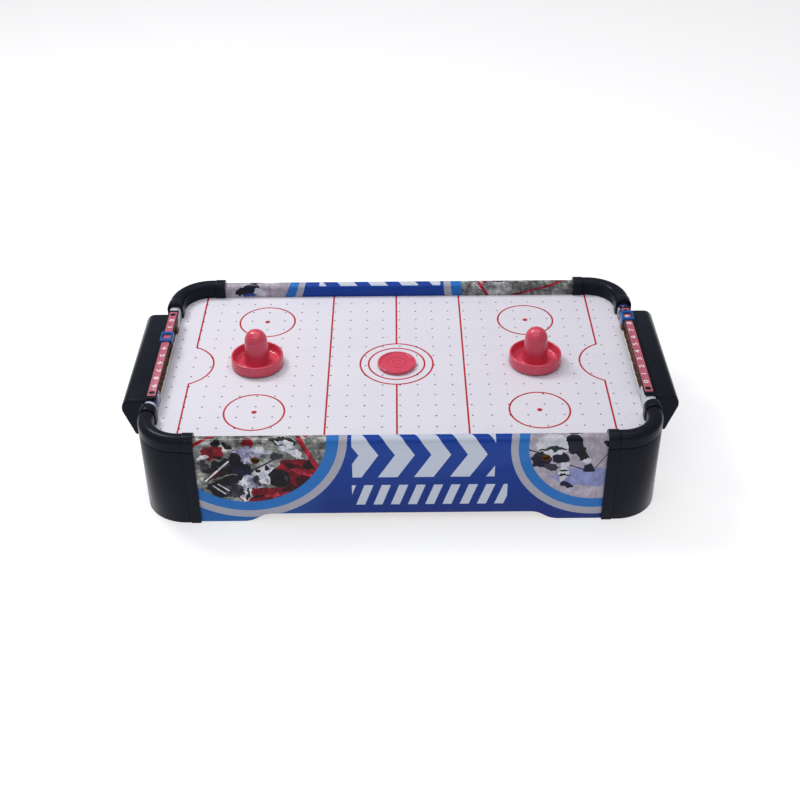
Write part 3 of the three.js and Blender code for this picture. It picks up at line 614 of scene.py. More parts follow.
# Free shapes of the pictures: centre u, v, radii, turn in degrees and colour, from back to front.
LEFT_SHAPES = [
    (-147, -2, 15, 10, 10, LILAC), (-132, 2, 9, 3.5, -20, CHALK), (-146, 12, 5, 4, 0, CRIMSON),
    (-181, 0, 11, 9, 25, CRIMSON), (-191, -5, 6, 3, 20, CHALK), (-176, 12, 5, 4.5, 0, INK),
    (-165, 7, 5, 4, -40, INK), (-113, 13, 14, 5, -14, INK), (-110, 10, 11, 2.4, -22, CHALK),
    (-167, -17, 17, 10, 8, INK), (-153, -20, 9, 9, 0, NAVY), (-121, -4, 7, 5, 15, SLATE),
    (-181, -27, 12, 4, 35, WINE), (-190, -16, 5, 7, 0, SLATE), (-148, -37, 12, 11, 20, LILAC),
    (-98, -26, 23, 19, -30, CRIMSON), (-104, 1, 14, 3, -28, CHALK), (-90, -36, 12, 12, 0, WINE),
    (-104, -18, 10, 3, -35, WINE), (-96, -24, 12, 2, -25, ROSE), (-88, -14, 7, 5, 40, INK),
    (-133, -52, 26, 10, 8, CRIMSON), (-118, -57, 14, 5, 12, WINE), (-151, -50, 5, 10, -12, CHALK),
    (-150, -50, 1.4, 10, -12, INK), (-177, -45, 12, 9, -20, INK), (-163, -45, 10, 10, 10, SLATE),
    (-130, -26, 12, 11, -25, CHALK), (-117, -31, 10, 12, 30, INK), (-137, -22, 2, 2.2, 0, INK),
    (-130, -19, 2, 3, 0, INK), (-112, -30, 2, 5, 30, SLATE), (-96, -50, 20, 9, -12, WINE),
    (-108, -52, 9, 3, 10, CRIMSON), (-141, -54, 8, 2, 6, INK), (-166, -34, 14, 6, 15, INK),
    (-186, -20, 5, 4, 0, INK), (-158, -5, 6, 4, 20, INK), (-183, 3, 5, 2, 30, WINE),
    (-176, -5, 4, 2, -30, INK), (-172, -15, 7, 2, 15, SLATE), (-140, -35, 4, 6, 20, SLATE),
    (-152, -34, 3, 7, -10, CHALK), (-123, -52, 12, 2, 12, ROSE),
]
RIGHT_SHAPES = [
    (196, -32, 50, 12, 0, srgb(136, 142, 190)), (146, 6, 16, 14, 0, CHALK), (145, 1, 15, 2.2, 4, TEAL),
    (135, -12, 10, 9, -20, NAVY), (154, -10, 8, 7, 0, NAVY), (166, 8, 7, 12, 12, NAVY),
    (175, -5, 5, 11, 20, INK), (179, -13, 5, 3, -8, CHALK), (182, -23, 5.5, 5, -20, NAVY),
    (158, -26, 4.4, 11, -4, CHALK), (158, -25, 4.6, 1.6, 8, TEAL), (158, -31, 4.4, 1.1, 8, NAVY),
    (161, -42, 6, 3.6, -15, NAVY), (145, -20, 6, 4, -10, SLATE), (199, 9, 5, 4, 0, NAVY),
    (172, 27, 13, 6, 15, NAVY), (160, 30, 7, 4, -10, CHALK), (183, 30, 5, 4, 0, INK),
    (172, 33, 8, 2, 5, srgb(52, 70, 150)),
]
# Bars over the shapes: start, end, half width and colour.
LEFT_STROKES = [
    ((-98, 18), (-79, -22), 2.4, FRAME_RED), ((-91, 20), (-103, 40), 1.8, FRAME_RED),
    ((-204, 6), (-174, 24), 1.6, FRAME_RED), ((-174, 24), (-122, 38), 1.2, FRAME_RED),
    ((-150, -26), (-122, -8), 0.8, NAVY), ((-190, -34), (-166, -10), 0.9, CHALK),
    ((-183, -40), (-172, -50), 0.7, CHALK), ((-178, -38), (-168, -46), 0.7, CHALK),
]
RIGHT_STROKES = [((163, -18), (184, -26), 0.6, INK), ((203, 2), (187, -23), 0.4, INK),
                 ((120, 2), (134, -3), 0.7, INK)]


def shards(finish, where, size, stretch, palette):
    """Sharp-edged patches of a palette, as a busy action photo looks from afar."""
    drift = finish.drift(size * 1.5, 3, where)
    bent = finish.vector("ADD", where, finish.vector("SCALE", drift, scale=size * 1.3))
    pick = finish.split(finish.cells(size, bent, stretch))[0]
    return finish.ramp(pick, [(i / len(palette), colour) for i, colour in enumerate(palette)], stepped=True)


def net(finish, where, centre, radii):
    """1 on the threads of a diamond net within an ellipse, else 0."""
    u, v, _ = finish.split(where)
    threads = [finish.less(finish.math("PINGPONG", finish.math(way, u, v), 1.9), 0.45)
               for way in ("ADD", "SUBTRACT")]
    return finish.times(finish.any_of(threads), finish.inside(where, centre, radii))


def painted(finish, where, ground, shapes, strokes, uneven):
    """Lays shapes and strokes over a ground, with a photo's uneven tone."""
    bent = finish.vector("MULTIPLY_ADD", finish.drift(8, 4, where), (13, 13, 0), plus=where)
    picture = ground
    for u, v, wide, tall, turn, colour in shapes:
        picture = finish.mix(finish.inside(bent, (u, v), (wide, tall), turn), picture, colour)
    for start, end, half, colour in strokes:
        picture = finish.mix(finish.stroke(where, start, end, half), picture, colour)
    tone = finish.ramp(finish.noise(5, 6, bent, (1, 2, 1)), [(0.36, grey(0.08)), (0.66, grey(0.9))])
    picture = finish.mix(uneven, picture, tone, "OVERLAY")
    facets = shards(finish, where, 3.6, (1, 1.4, 1), [grey(level) for level in FACET_GREYS])
    return finish.mix(uneven, picture, facets, "OVERLAY")


def left_picture(finish, where):
    """Greenish ice, masses of red, white and black, and the red frame of a goal."""
    ice = finish.ramp(finish.noise(9, 6, where, (3, 1, 1)),
                      [(0.36, srgb(72, 76, 78)), (0.54, srgb(136, 138, 134)), (0.68, srgb(204, 206, 202))])
    ice = finish.mix(net(finish, where, (-104, 26), (22, 13)), ice, srgb(192, 194, 198))
    return painted(finish, where, ice, LEFT_SHAPES, LEFT_STROKES, 0.5)


def right_picture(finish, where):
    """Lilac ice with a blue zone, and a few navy and white masses and thin dark sticks."""
    ice = finish.ramp(finish.noise(20, 3, where, (4, 1, 1)),
                      [(0.3, srgb(158, 150, 164)), (0.7, srgb(180, 172, 188))])
    return painted(finish, where, ice, RIGHT_SHAPES, RIGHT_STROKES, 0.16)


def emblems(finish, u, v):
    """Arrowheads above a row of slanted dashes, in the place of lettering."""
    def row(lean, kind, within):
        bars = finish.less(finish.math("PINGPONG", lean, kind.pitch), kind.bar)
        return finish.times(bars, finish.times(finish.near(u, kind.middle, kind.reach), within))

    arm = finish.size(finish.math("SUBTRACT", v, ARROWS.tip))
    head = finish.math("ADD", finish.math("SUBTRACT", u, ARROWS.start), finish.times(arm, ARROWS.slope))
    slant = finish.math("SUBTRACT", u, finish.times(v, DASHES.slope))
    return finish.any_of([row(head, ARROWS, finish.less(arm, ARROWS.half)),
                          row(slant, DASHES, finish.near(v, DASHES.row, DASHES.half))])


def bare_board(finish, where):
    """Colour of the fibreboard where no wrap covers it."""
    return finish.mix(finish.noise(1.2, 4, where), srgb(96, 62, 34), BOARD_BROWN)


def film(finish, colour, where, v):
    """Finishes a printed wrap: its edge, print grain, dust specks and a glossy skin."""
    colour = finish.mix(finish.more(v, WRAP_EDGE), colour, bare_board(finish, where))
    grains = finish.ramp(finish.noise(0.7, 2, where), [(0.3, grey(0)), (0.7, grey(1))])
    colour = finish.mix(0.16, colour, grains, "SOFT_LIGHT")
    specks = finish.patches(2.2, 3, 0.74, 0.78, where)
    finish.paint(finish.mix(finish.times(specks, 0.6), colour, srgb(96, 78, 58)))
    finish.gloss(finish.patches(12, 4, 0.4, 0.8, where), 0.25, 0.36)
    finish.relief(finish.noise(2.5, 3, where), 0.008)


def wrap_place(finish):
    """U and V, and both together as one place."""
    u, v, _ = finish.split(finish.node("ShaderNodeUVMap", uv_map=WRAP))
    return u, v, finish.combine(u, v)


def side_wrap():
    finish = Finish("printed_board", 0.3, Specular_IOR_Level=0.15)
    u, v, where = wrap_place(finish)
    # Painted shade: the blue is darker towards the foot of the board's outer face and lighter near its top.
    blue = finish.mix(finish.between(v, *BLUE_SHADE_FADE), srgb(13, 43, 121), srgb(20, 63, 152))
    blue = finish.mix(finish.between(u, *LEFT_FADE), srgb(28, 98, 172), blue)
    colour = finish.mix(emblems(finish, u, v), blue, LETTER_WHITE)
    for side, picture in (("left", left_picture), ("right", right_picture)):
        centre, radii, rings = PICTURES[side]
        for tint, (wide, tall) in zip((GREY_RING, SKY), rings):
            grown = finish.inside(where, centre, (radii[0] + wide, radii[1] + tall))
            colour = finish.mix(grown, colour, tint)
        colour = finish.mix(finish.inside(where, centre, radii), colour, picture(finish, where))
    film(finish, colour, where, v)


def end_wrap():
    """The end boards' wrap: blue behind the goal box, pale ice and streaks towards the corners."""
    finish = Finish("printed_end_board", 0.3, Specular_IOR_Level=0.2)
    u, v, where = wrap_place(finish)
    # Painted shade: the blue is darker towards the foot of the board's outer face and lighter near its top.
    blue = finish.mix(finish.between(v, *BLUE_SHADE_FADE), srgb(15, 46, 126), srgb(30, 62, 150))
    ice = finish.mix(finish.noise(9, 4, where), srgb(190, 198, 196), srgb(214, 216, 222))
    streaks = shards(finish, where, 7, (1, 3, 1),
                     [srgb(200, 202, 212), srgb(44, 50, 96), srgb(190, 196, 204), srgb(92, 106, 150)])
    picture = finish.mix(finish.between(u, *END_PRINT.streaks), ice, streaks)
    centred = finish.size(u)
    colour = finish.mix(finish.more(centred, END_PRINT.blue), blue, picture)
    edge = finish.near(centred, END_PRINT.edge, END_PRINT.edge_half)
    colour = finish.mix(edge, colour, GREY_RING)
    behind = finish.more(finish.split(finish.place)[1], 0)
    tear = finish.times(finish.noise(7, 4, where), finish.times(behind, 20))
    torn = finish.times(finish.less(centred, finish.math("ADD", tear, NOTCH_Y)),
                        finish.near(v, WRAP_EDGE - 20, 8))
    colour = finish.mix(torn, colour, bare_board(finish, where))
    film(finish, colour, where, v)


# ---- playfield ----

GRID = Sizes(columns=27, rows=14, pitch=18, row_pitch=18.1, group_gap=1.4, middle_y=5.8, radius=1.1)


def playfield():
    """The playing board with its grid of air holes, in three groups of nine columns."""
    half = GRID.columns // 2
    xs = [GRID.pitch * i + GRID.group_gap * ((i > 4) - (i < -4)) for i in range(-half, half + 1)]
    ys = [GRID.middle_y + GRID.row_pitch * (j - (GRID.rows - 1) / 2) for j in range(GRID.rows)]

    def borders(centres, edge):
        return [-edge] + [(a + b) / 2 for a, b in zip(centres, centres[1:])] + [edge]

    x_borders, y_borders = borders(xs, FIELD_HIGH.x), borders(ys, FIELD_HIGH.y)
    points, faces = [], []
    for i, x in enumerate(xs):
        for j, y in enumerate(ys):
            corners = rectangle(*x_borders[i:i + 2], *y_borders[j:j + 2])
            rim = []
            for (ax, ay), (bx, by) in zip(corners, corners[1:] + corners[:1]):
                rim += [(ax + (bx - ax) * k / 3, ay + (by - ay) * k / 3) for k in range(3)]
            first, count = len(points), len(rim)
            hole = arc(x, y, GRID.radius, 225, 585, count)[:-1]
            points += [(*point, FIELD_Z) for point in rim + hole]
            for k in range(count):
                after = (k + 1) % count
                faces.append([first + k, first + after, first + count + after, first + count + k])
    piece = mesh_object("playfield_board", points, faces)
    if piece.data.polygons[0].normal.z < 0:
        piece.data.flip_normals()
    modified(piece, "SOLIDIFY", thickness=(FIELD_HIGH.z - FIELD_LOW.z) * MM, offset=-1)
    stand_for(piece, "playfield", "white_field")


# ---- boards of the frame ----

ARCH = Sizes(foot=155.5, crown=127, height=9.3, steps=24)
PANEL_SCREW = Sizes(x=140, z=76.5, recess=3.8, depth=6, shank=1.9)
NOTCH_Y = 62
REBATE = Sizes(x=252.4, z=96.2)
GOAL_SCREW = Sizes(y=73, z=70, radius=1.9)
BAR_SCREW = Sizes(y=74.3, hole=2.9, recess=3.2, seat=100.5, head=2.6, head_height=1.2)


def board_outline(inner, outer):
    """Section of a board as distance outwards and height."""
    return [(inner, 0), (outer, 0), *arc(outer - RAIL_ROUND, SPRING, RAIL_ROUND, 0, 90),
            *arc(inner + RAIL_ROUND, SPRING, RAIL_ROUND, 90, 180)]


def unrolled(distance, height, inner, outer):
    """How far up the wrap a point of the board lies, from the playfield's level on the outer face."""
    over = SPRING - FIELD_Z
    quarter = RAIL_ROUND * math.pi / 2
    flat = outer - inner - 2 * RAIL_ROUND
    if height < SPRING and distance > (inner + outer) / 2:
        return height - FIELD_Z
    if height < SPRING:
        return over + 2 * quarter + flat + SPRING - height
    if distance > outer - RAIL_ROUND:
        return over + RAIL_ROUND * math.atan2(height - SPRING, distance - outer + RAIL_ROUND)
    if distance > inner + RAIL_ROUND:
        return over + quarter + outer - RAIL_ROUND - distance
    return over + flat + quarter + RAIL_ROUND * math.atan2(inner + RAIL_ROUND - distance, height - SPRING)


def wrapped(piece, along, turn, inner, outer, node, *finishes):
    """Softens a board's edges and lays the wrap over it. Its sawn faces take the second finish."""
    bevel(piece, 0.35)
    across = 1 - along
    layer = piece.data.uv_layers.new(name=WRAP)
    for face in piece.data.polygons:
        centre = face.center / MM
        distance, normal = abs(centre[across]), abs(face.normal[across])
        on_skin = min(abs(distance - inner), abs(distance - outer)) < 0.05 and normal > 0.9
        on_top = centre.z > SPRING and abs(face.normal[along]) < 0.5
        face.material_index = 0 if on_skin or on_top else 1
        for loop in face.loop_indices:
            point = piece.data.vertices[piece.data.loops[loop].vertex_index].co / MM
            v = unrolled(abs(point[across]), point.z, inner, outer)
            layer.data[loop].uv = (point[along] * turn, v)
    stand_for(piece, node, "printed_board", *finishes)


def arch_outline():
    """The cut-out under a side board, as height and distance from the middle."""
    foot, crown, steps = ARCH.foot, ARCH.crown, ARCH.steps
    flank = []
    for t in [i / steps for i in range(steps + 1)]:
        height = ARCH.height * (0.3 * t * (1 - t) ** 2 + 3 * t * t * (1 - t) + t ** 3)
        flank.append((height, foot * (1 - t) ** 3 + 1.5 * (foot + crown) * t * (1 - t) + crown * t ** 3))
    left = [(height, -reach) for height, reach in flank]
    return [(-1, -foot), *left, *reversed(flank), (-1, foot)]


def side_boards():
    inside, outside = INNER_Y - 2, OUTER_Y + 2
    at = [(PANEL_SCREW.z, end * PANEL_SCREW.x) for end in ENDS]
    low, high = box_mm("switch_body")
    for face, y_sign in FACES:
        piece = mesh_object(f"side_board_{face}",
                            *prism(board_outline(INNER_Y, OUTER_Y), "X", -SIDE_END, SIDE_END))
        cut(piece, prism(arch_outline(), "Y", inside, outside),
            *[rod("Y", PANEL_SCREW.recess, OUTER_Y - PANEL_SCREW.depth, outside, *p) for p in at],
            *[rod("Y", PANEL_SCREW.shank, inside, OUTER_Y, *p) for p in at])
        if face == "back":
            cut(piece, block(low.x + 1, high.x - 1, inside, outside, low.z + 1, high.z - 1))
        mirrored(piece, 1, y_sign)
        wrapped(piece, 0, -y_sign, INNER_Y, OUTER_Y, f"side_rail_{face}", "printed_board", "raw_board")


def end_boards():
    inside, outside, above = INNER_X - 2, OUTER_X + 2, RAIL_TOP + 2
    outline = [(x, y) for y, x in board_outline(INNER_X, OUTER_X)]
    half = GOAL_HIGH.y + GAP
    for side, x_sign in SIDES:
        piece = mesh_object(f"end_board_{side}", *prism(outline, "Y", -END_END, END_END))
        cut(piece, block(inside, outside, -NOTCH_Y, NOTCH_Y, FIELD_Z - GAP, above),
            block(REBATE.x, outside, -half, half, REBATE.z, above))
        for end in ENDS:
            cut(piece, rod("X", GOAL_SCREW.radius, inside, outside, end * GOAL_SCREW.y, GOAL_SCREW.z),
                rod("Z", 1.7, RAIL_TOP - 16, above, BAR_X, end * BAR_SCREW.y))
        mirrored(piece, x_sign, 1)
        wrapped(piece, 1, x_sign, INNER_X, OUTER_X, f"end_rail_{side}", "printed_end_board",
                "notched_board")


# ---- moulded corners ----

CORNER = Sizes(x=213, y=109.5, outer=44, inner=28.5, wall=1.2, post_wall=2.4,
               stop=0.4, web=2.6, spring=96.5)  # the round top of a cap starts at spring
COLLAR = Sizes(length=10.5, proud=1, side_top=0.5, end_top=2.2, edge=0.7,
               groove=0.6, groove_depth=0.5)
BAND_X, BAND_Y = MOUTH_X + COLLAR.length, MOUTH_Y + COLLAR.length
STOP_X, STOP_Y = SIDE_END + CORNER.stop, END_END + CORNER.stop


def cap_ring(proud, top_proud, origin, outwards):
    """Section of a cap, open below, at a point of its centre line."""
    half = (CORNER.outer - CORNER.inner) / 2
    wide, channel = half + proud, half - CORNER.wall
    rise = CAP_HIGH.z - COLLAR.end_top + top_proud - CORNER.spring
    low_out, low_in, chamfer, lip = POST_TOP + GAP, FIELD_Z + GAP, 0.7, 0.4
    section = [(wide - chamfer, low_out), (wide, low_out + chamfer),
               *arc(0, CORNER.spring, (wide, rise), 0, 180, 24),
               (-wide, low_in + lip), (-wide + lip, low_in), (-channel, low_in),
               (-channel, RAIL_TOP + GAP), (channel, RAIL_TOP + GAP), (channel, low_out)]
    return [(origin[0] + outwards[0] * out, origin[1] + outwards[1] * out, z) for out, z in section]


def corner_cap_points():
    """A cap swept from its mouth on the side board, round the corner, to its mouth on the end board."""
    x, y, middle = CORNER.x, CORNER.y, (CORNER.outer + CORNER.inner) / 2
    band, edge, groove, depth = COLLAR.length, COLLAR.edge, COLLAR.groove, COLLAR.groove_depth
    # Distance from the mouth, share of the collar's height there, and depth in the groove behind it.
    steps = [(0, 0.72, 0), (0.25, 0.93, 0), (edge, 1, 0), (band - edge, 1, 0), (band - 0.25, 0.9, 0),
             (band, 0.6, 0), (band + 0.1, 0, depth), (band + groove, 0, depth),
             (band + groove + 0.15, 0, 0)]

    def collar(place, outwards, top):
        return [cap_ring(COLLAR.proud * share - sunk, top * share - sunk, place(along), outwards)
                for along, share, sunk in steps]

    rings = collar(lambda along: (MOUTH_X + along, y + middle), (0, 1), COLLAR.side_top)
    for i in range(33):
        angle = math.radians(90 - 90 * i / 32)
        outwards = (math.cos(angle), math.sin(angle))
        rings.append(cap_ring(0, 0, (x + middle * outwards[0], y + middle * outwards[1]), outwards))
    rings += reversed(collar(lambda along: (x + middle, MOUTH_Y + along), (1, 0), COLLAR.end_top))
    return loft(rings)


def corner_arc(radius, start, end):
    return arc(CORNER.x, CORNER.y, radius, start, end, 28)


def post_plan():
    x, y, outer, inner, wall = CORNER.x, CORNER.y, CORNER.outer, CORNER.inner, CORNER.wall
    far, face, lip, step = outer + COLLAR.proud, outer - wall, inner + wall, 0.6
    return [
        (MOUTH_X, y + far - step), (MOUTH_X + step, y + far),
        (BAND_X - step, y + far), (BAND_X, y + far - step),
        (BAND_X, y + outer), *corner_arc(outer, 90, 0),
        (x + outer, BAND_Y), (x + far - step, BAND_Y), (x + far, BAND_Y - step),
        (x + far, MOUTH_Y + step), (x + far - step, MOUTH_Y),
        (x + face, MOUTH_Y), (x + face, STOP_Y), (x + lip, STOP_Y), (x + lip, MOUTH_Y),
        (x + inner, MOUTH_Y), *corner_arc(inner, 0, 90), (MOUTH_X, y + inner),
        (MOUTH_X, y + lip), (STOP_X, y + lip), (STOP_X, y + face), (MOUTH_X, y + face),
    ]


def corners():
    x, y = CORNER.x, CORNER.y
    web_x, web_y = STOP_X + CORNER.web, STOP_Y + CORNER.web
    out, back = CORNER.outer - CORNER.post_wall, CORNER.inner + CORNER.post_wall
    hollow = [(web_x, y + out), *corner_arc(out, 90, 0), (x + out, web_y),
              (x + back, web_y), *corner_arc(back, 0, 90), (web_x, y + back)]
    face = CORNER.outer - CORNER.wall
    under_field = [(MOUTH_X - 5, y + face), *corner_arc(face, 90, 0),
                   (x + face, MOUTH_Y - 5), (MOUTH_X - 5, MOUTH_Y - 5)]
    wide, deep, above = COLLAR.groove, CORNER.outer - COLLAR.groove_depth, POST_TOP + 1
    grooves = [block(BAND_X - 0.2, BAND_X + wide, y + deep, y + deep + 5, -1, above),
               block(x + deep, x + deep + 5, BAND_Y - 0.2, BAND_Y + wide, -1, above)]
    for side, x_sign in SIDES:
        for end, y_sign in FACES:
            cap = mesh_object(f"cap_{end}_{side}", *corner_cap_points())
            mirrored(cap, x_sign, y_sign)
            stand_for(cap, f"corner_cap_{end}_{side}", "black_plastic", smooth=40)
            post = mesh_object(f"post_{end}_{side}", *prism(post_plan(), "Z", 0, POST_TOP))
            cut(post, prism(hollow, "Z", -1, above),
                prism(under_field, "Z", FIELD_LOW.z - GAP, POST_TOP + 5))
            bevel(post, 0.5)
            cut(post, *grooves)
            merged(post.data, MERGE.slivers, empty=True)
            mirrored(post, x_sign, y_sign)
            stand_for(post, f"corner_post_{end}_{side}", "black_plastic")


# ---- goal boxes ----

GOAL = Sizes(foot=268.5, wall=2.2, round=10.5)
PICKUP_SLOT = Sizes(half=40, low=62, high=82, corner=5)


def goal_solid(wall, back):
    """A goal box as a solid, that far inside its outer surface and reaching in to "back"."""
    tip, top, bottom = GOAL_HIGH.x - wall, GOAL_HIGH.z - wall, GOAL_LOW.z + wall
    side_view = rounded([(bottom, back), (bottom, GOAL.foot - wall, 1.6), (FIELD_Z, tip, 6),
                         (top, tip, GOAL.round - wall), (top, back)], steps=12)
    return prism(side_view, "Y", -GOAL_HIGH.y + wall, GOAL_HIGH.y - wall)


def goal_boxes():
    half = PICKUP_SLOT.half
    slot = rounded(rectangle(-half, half, PICKUP_SLOT.low, PICKUP_SLOT.high, PICKUP_SLOT.corner))
    wide = GOAL_HIGH.y + 1
    for side, x_sign in SIDES:
        piece = mesh_object(f"goal_shell_{side}", *goal_solid(0, GOAL_LOW.x))
        bevel(piece, 1.5, segments=4)
        cut(piece, goal_solid(GOAL.wall, OUTER_X - 8),
            block(GOAL_LOW.x - 1, OUTER_X + GAP, -wide, wide, GOAL_LOW.z - 1, REBATE.z + GAP),
            prism(slot, "X", GOAL.foot - 12, GOAL_HIGH.x + 1))
        for y in (end * GOAL_SCREW.y for end in ENDS):
            join(piece, block(OUTER_X + GAP, OUTER_X + 9, y - 4, y + 4, GOAL_LOW.z + 1, 75))
            cut(piece, rod("X", GOAL_SCREW.radius, OUTER_X - 1, OUTER_X + 8, y, GOAL_SCREW.z))
        mirrored(piece, x_sign, 1)
        bevel(piece, 0.3, angle=50)
        stand_for(piece, f"goal_box_{side}", "black_plastic", smooth=40)


# ---- score keeping ----

BAR = Sizes(foot=4, neck=101, strip=STRIP_HIGH.x - BAR_X)
DIGIT = Sizes(size=8.4, offset=0.12, height=0.03, step=13.9, wide=1.25, tall=0.82)
SLIDER = Sizes(window_x=4.3, window_y=5.0, floor=99.9, play=0.4)  # the window's sizes are halves


def digits(side, x_sign):
    """The numbers 0 to 9 as thin raised paint, read from outside the table's end."""
    turn = Matrix.Rotation(math.radians(90 * x_sign), 4, "Z")
    parts = []
    for value in range(10):
        text = bpy.data.curves.new("digit", "FONT")
        text.body = str(value)
        text.align_x = text.align_y = "CENTER"
        text.size = DIGIT.size * MM
        text.offset = DIGIT.offset * MM
        text.extrude = DIGIT.height * MM
        made = linked("digit", text)
        graph = bpy.context.evaluated_depsgraph_get()
        part = bpy.data.meshes.new_from_object(made.evaluated_get(graph))
        at = Vector((x_sign * BAR_X, x_sign * (value - 4.5) * DIGIT.step, STRIP_HIGH.z + 0.04)) * MM
        part.transform(Matrix.Translation(at) @ turn @ Matrix.Diagonal((DIGIT.wide, DIGIT.tall, 1, 1)))
        parts.append(part)
        bpy.data.objects.remove(made)
    mesh = bpy.data.meshes.new(f"digits_{side}")
    merged(mesh, MERGE.doubles, *parts)
    coat(mesh, "digit_paint")
    piece = linked(f"digits_{side}", mesh)
    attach(piece, "table")


def score_keeping():
    foot, neck, strip = BAR.foot, BAR.neck, BAR.strip
    section = [(BAR_LOW.z, BAR_X - foot), (BAR_LOW.z, BAR_X + foot), (neck, BAR_X + foot),
               (neck, BAR_HIGH.x), (BAR_HIGH.z, BAR_HIGH.x), (BAR_HIGH.z, BAR_LOW.x),
               (neck, BAR_LOW.x), (neck, BAR_X - foot)]
    plan = rounded(rectangle(BAR_X - strip, BAR_X + strip, STRIP_LOW.y, STRIP_HIGH.y, 0.8))
    seat, top = BAR_SCREW.seat, BAR_HIGH.z + 1
    holes = [(BAR_X, end * BAR_SCREW.y) for end in ENDS]
    for side, x_sign in SIDES:
        bar = mesh_object(f"marker_bar_{side}", *prism(section, "Y", BAR_LOW.y, BAR_HIGH.y))
        cut(bar, block(BAR_X - strip - GAP, BAR_X + strip + GAP, STRIP_LOW.y - GAP, STRIP_HIGH.y + GAP,
                       STRIP_LOW.z - GAP, top),
            *[rod("Z", BAR_SCREW.recess, seat, top, *hole) for hole in holes],
            *[rod("Z", 1.6, BAR_LOW.z - 1, seat + 1, *hole) for hole in holes])
        mirrored(bar, x_sign, 1)
        bevel(bar, 0.25)
        stand_for(bar, f"score_bar_{side}", "black_plastic")

        plate = mesh_object(f"number_strip_{side}", *prism(plan, "Z", STRIP_LOW.z, STRIP_HIGH.z))
        cut(plate, *[rod("Z", BAR_SCREW.hole, STRIP_LOW.z - 1, STRIP_HIGH.z + 1, *hole) for hole in holes])
        mirrored(plate, x_sign, 1)
        bevel(plate, 0.08)
        stand_for(plate, f"score_strip_{side}", "pink_strip")
        digits(side, x_sign)
        score_slider(side, x_sign)
        for end, y_sign in FACES:
            at = (x_sign * BAR_X, y_sign * BAR_SCREW.y, seat + GAP + BAR_SCREW.head_height)
            screw(f"bar_screw_{end}_{side}", (BAR_SCREW.head, BAR_SCREW.head_height, 1.2, 14), at,
                  Matrix.Identity(3), "screw_steel", f"score_bar_screw_{side}_{end}")


def score_slider(side, x_sign):
    """A sleeve that hooks under the bar, with a window over the number and a skirt on the field side."""
    node = f"score_slider_{side}"
    low, high = box_mm(node)
    middle = (low.y + high.y) / 2
    skirt, sleeve = BAR_X - (high.x - low.x) / 2, BAR_HIGH.x - BAR_X + GAP
    outside, floor = 2 * BAR_X - skirt, SLIDER.floor
    outline = rounded([(low.z, skirt, 0.3), (low.z, BAR_X - sleeve, 0.2), (floor, BAR_X - sleeve),
                       (floor, outside, 0.5), (high.z, outside, 0.8), (high.z, skirt, 0.8)])
    piece = mesh_object(f"marker_{side}", *prism(outline, "Y", low.y, high.y))
    window_x, window_y, foot = SLIDER.window_x, SLIDER.window_y, BAR.foot + SLIDER.play
    hole = rounded(rectangle(BAR_X - window_x, BAR_X + window_x, middle - window_y, middle + window_y, 0.6))
    y0, y1 = low.y - 1, high.y + 1
    cut(piece, block(BAR_X - sleeve, BAR_X + sleeve, y0, y1, BAR.neck - GAP, BAR_HIGH.z + GAP),
        block(BAR_X - foot, BAR_X + foot, y0, y1, floor - 5, BAR.neck),
        prism(hole, "Z", BAR_HIGH.z, high.z + 1))
    mirrored(piece, x_sign, 1)
    bevel(piece, 0.35)
    stand_for(piece, node, "blue_plastic", body=node)


# ---- screws ----

def screw(name, sizes, at, turn, finish, node):
    """A wood screw with a cross recess, its head's top at the point and its tip down before it is turned.
    Its sizes are the head's radius and height, and the shank's radius and length."""
    head, head_height, shank, length = sizes
    start, pitch = 2 * shank - length, 1.3
    profile = [(0, -length), (shank, start)]
    for i in range(int((-start - head_height - 1) / pitch)):
        low = start + i * pitch
        profile += [(shank * 0.72, low + pitch * 0.3), (shank, low + pitch * 0.8)]
    profile += [(shank, -head_height), (head - 0.1, -head_height * 0.42), (head, -head_height * 0.3),
                (head - 0.15, -0.08), (head * 0.7, 0), (0, 0)]
    piece = mesh_object(name, *lathe(profile, 32))
    arm, half = head * 0.58, head * 0.13
    cross = [(half, half), (half, arm), (-half, arm), (-half, half), (-arm, half), (-arm, -half),
             (-half, -half), (-half, -arm), (half, -arm), (half, -half), (arm, -half), (arm, half)]
    cut(piece, prism(cross, "Z", -head_height * 0.5, 1))
    piece.data.transform(Matrix.Translation(Vector(at) * MM) @ turn.to_4x4())
    stand_for(piece, node, "steel", finish)


def panel_screws():
    for face, y_sign in FACES:
        turn = Matrix.Rotation(math.radians(-90 * y_sign), 3, "X")
        for side, x_sign in SIDES:
            y = y_sign * (OUTER_Y - PANEL_SCREW.depth + 2.2 + GAP)
            screw(f"board_screw_{face}_{side}", (3.3, 2.2, 1.4, 15),
                  (x_sign * PANEL_SCREW.x, y, PANEL_SCREW.z), turn, "yellow_zinc",
                  f"panel_screw_{face}_{side}")


# ---- strikers and puck ----

def turned(name, outline, facets, node, slot, body, smooth):
    """A turned piece about the middle of the CAD node that it stands for."""
    low, high = box_mm(node)
    piece = mesh_object(name, *lathe(outline, facets, ((low.x + high.x) / 2, (low.y + high.y) / 2)))
    stand_for(piece, node, slot, body=body, smooth=smooth)


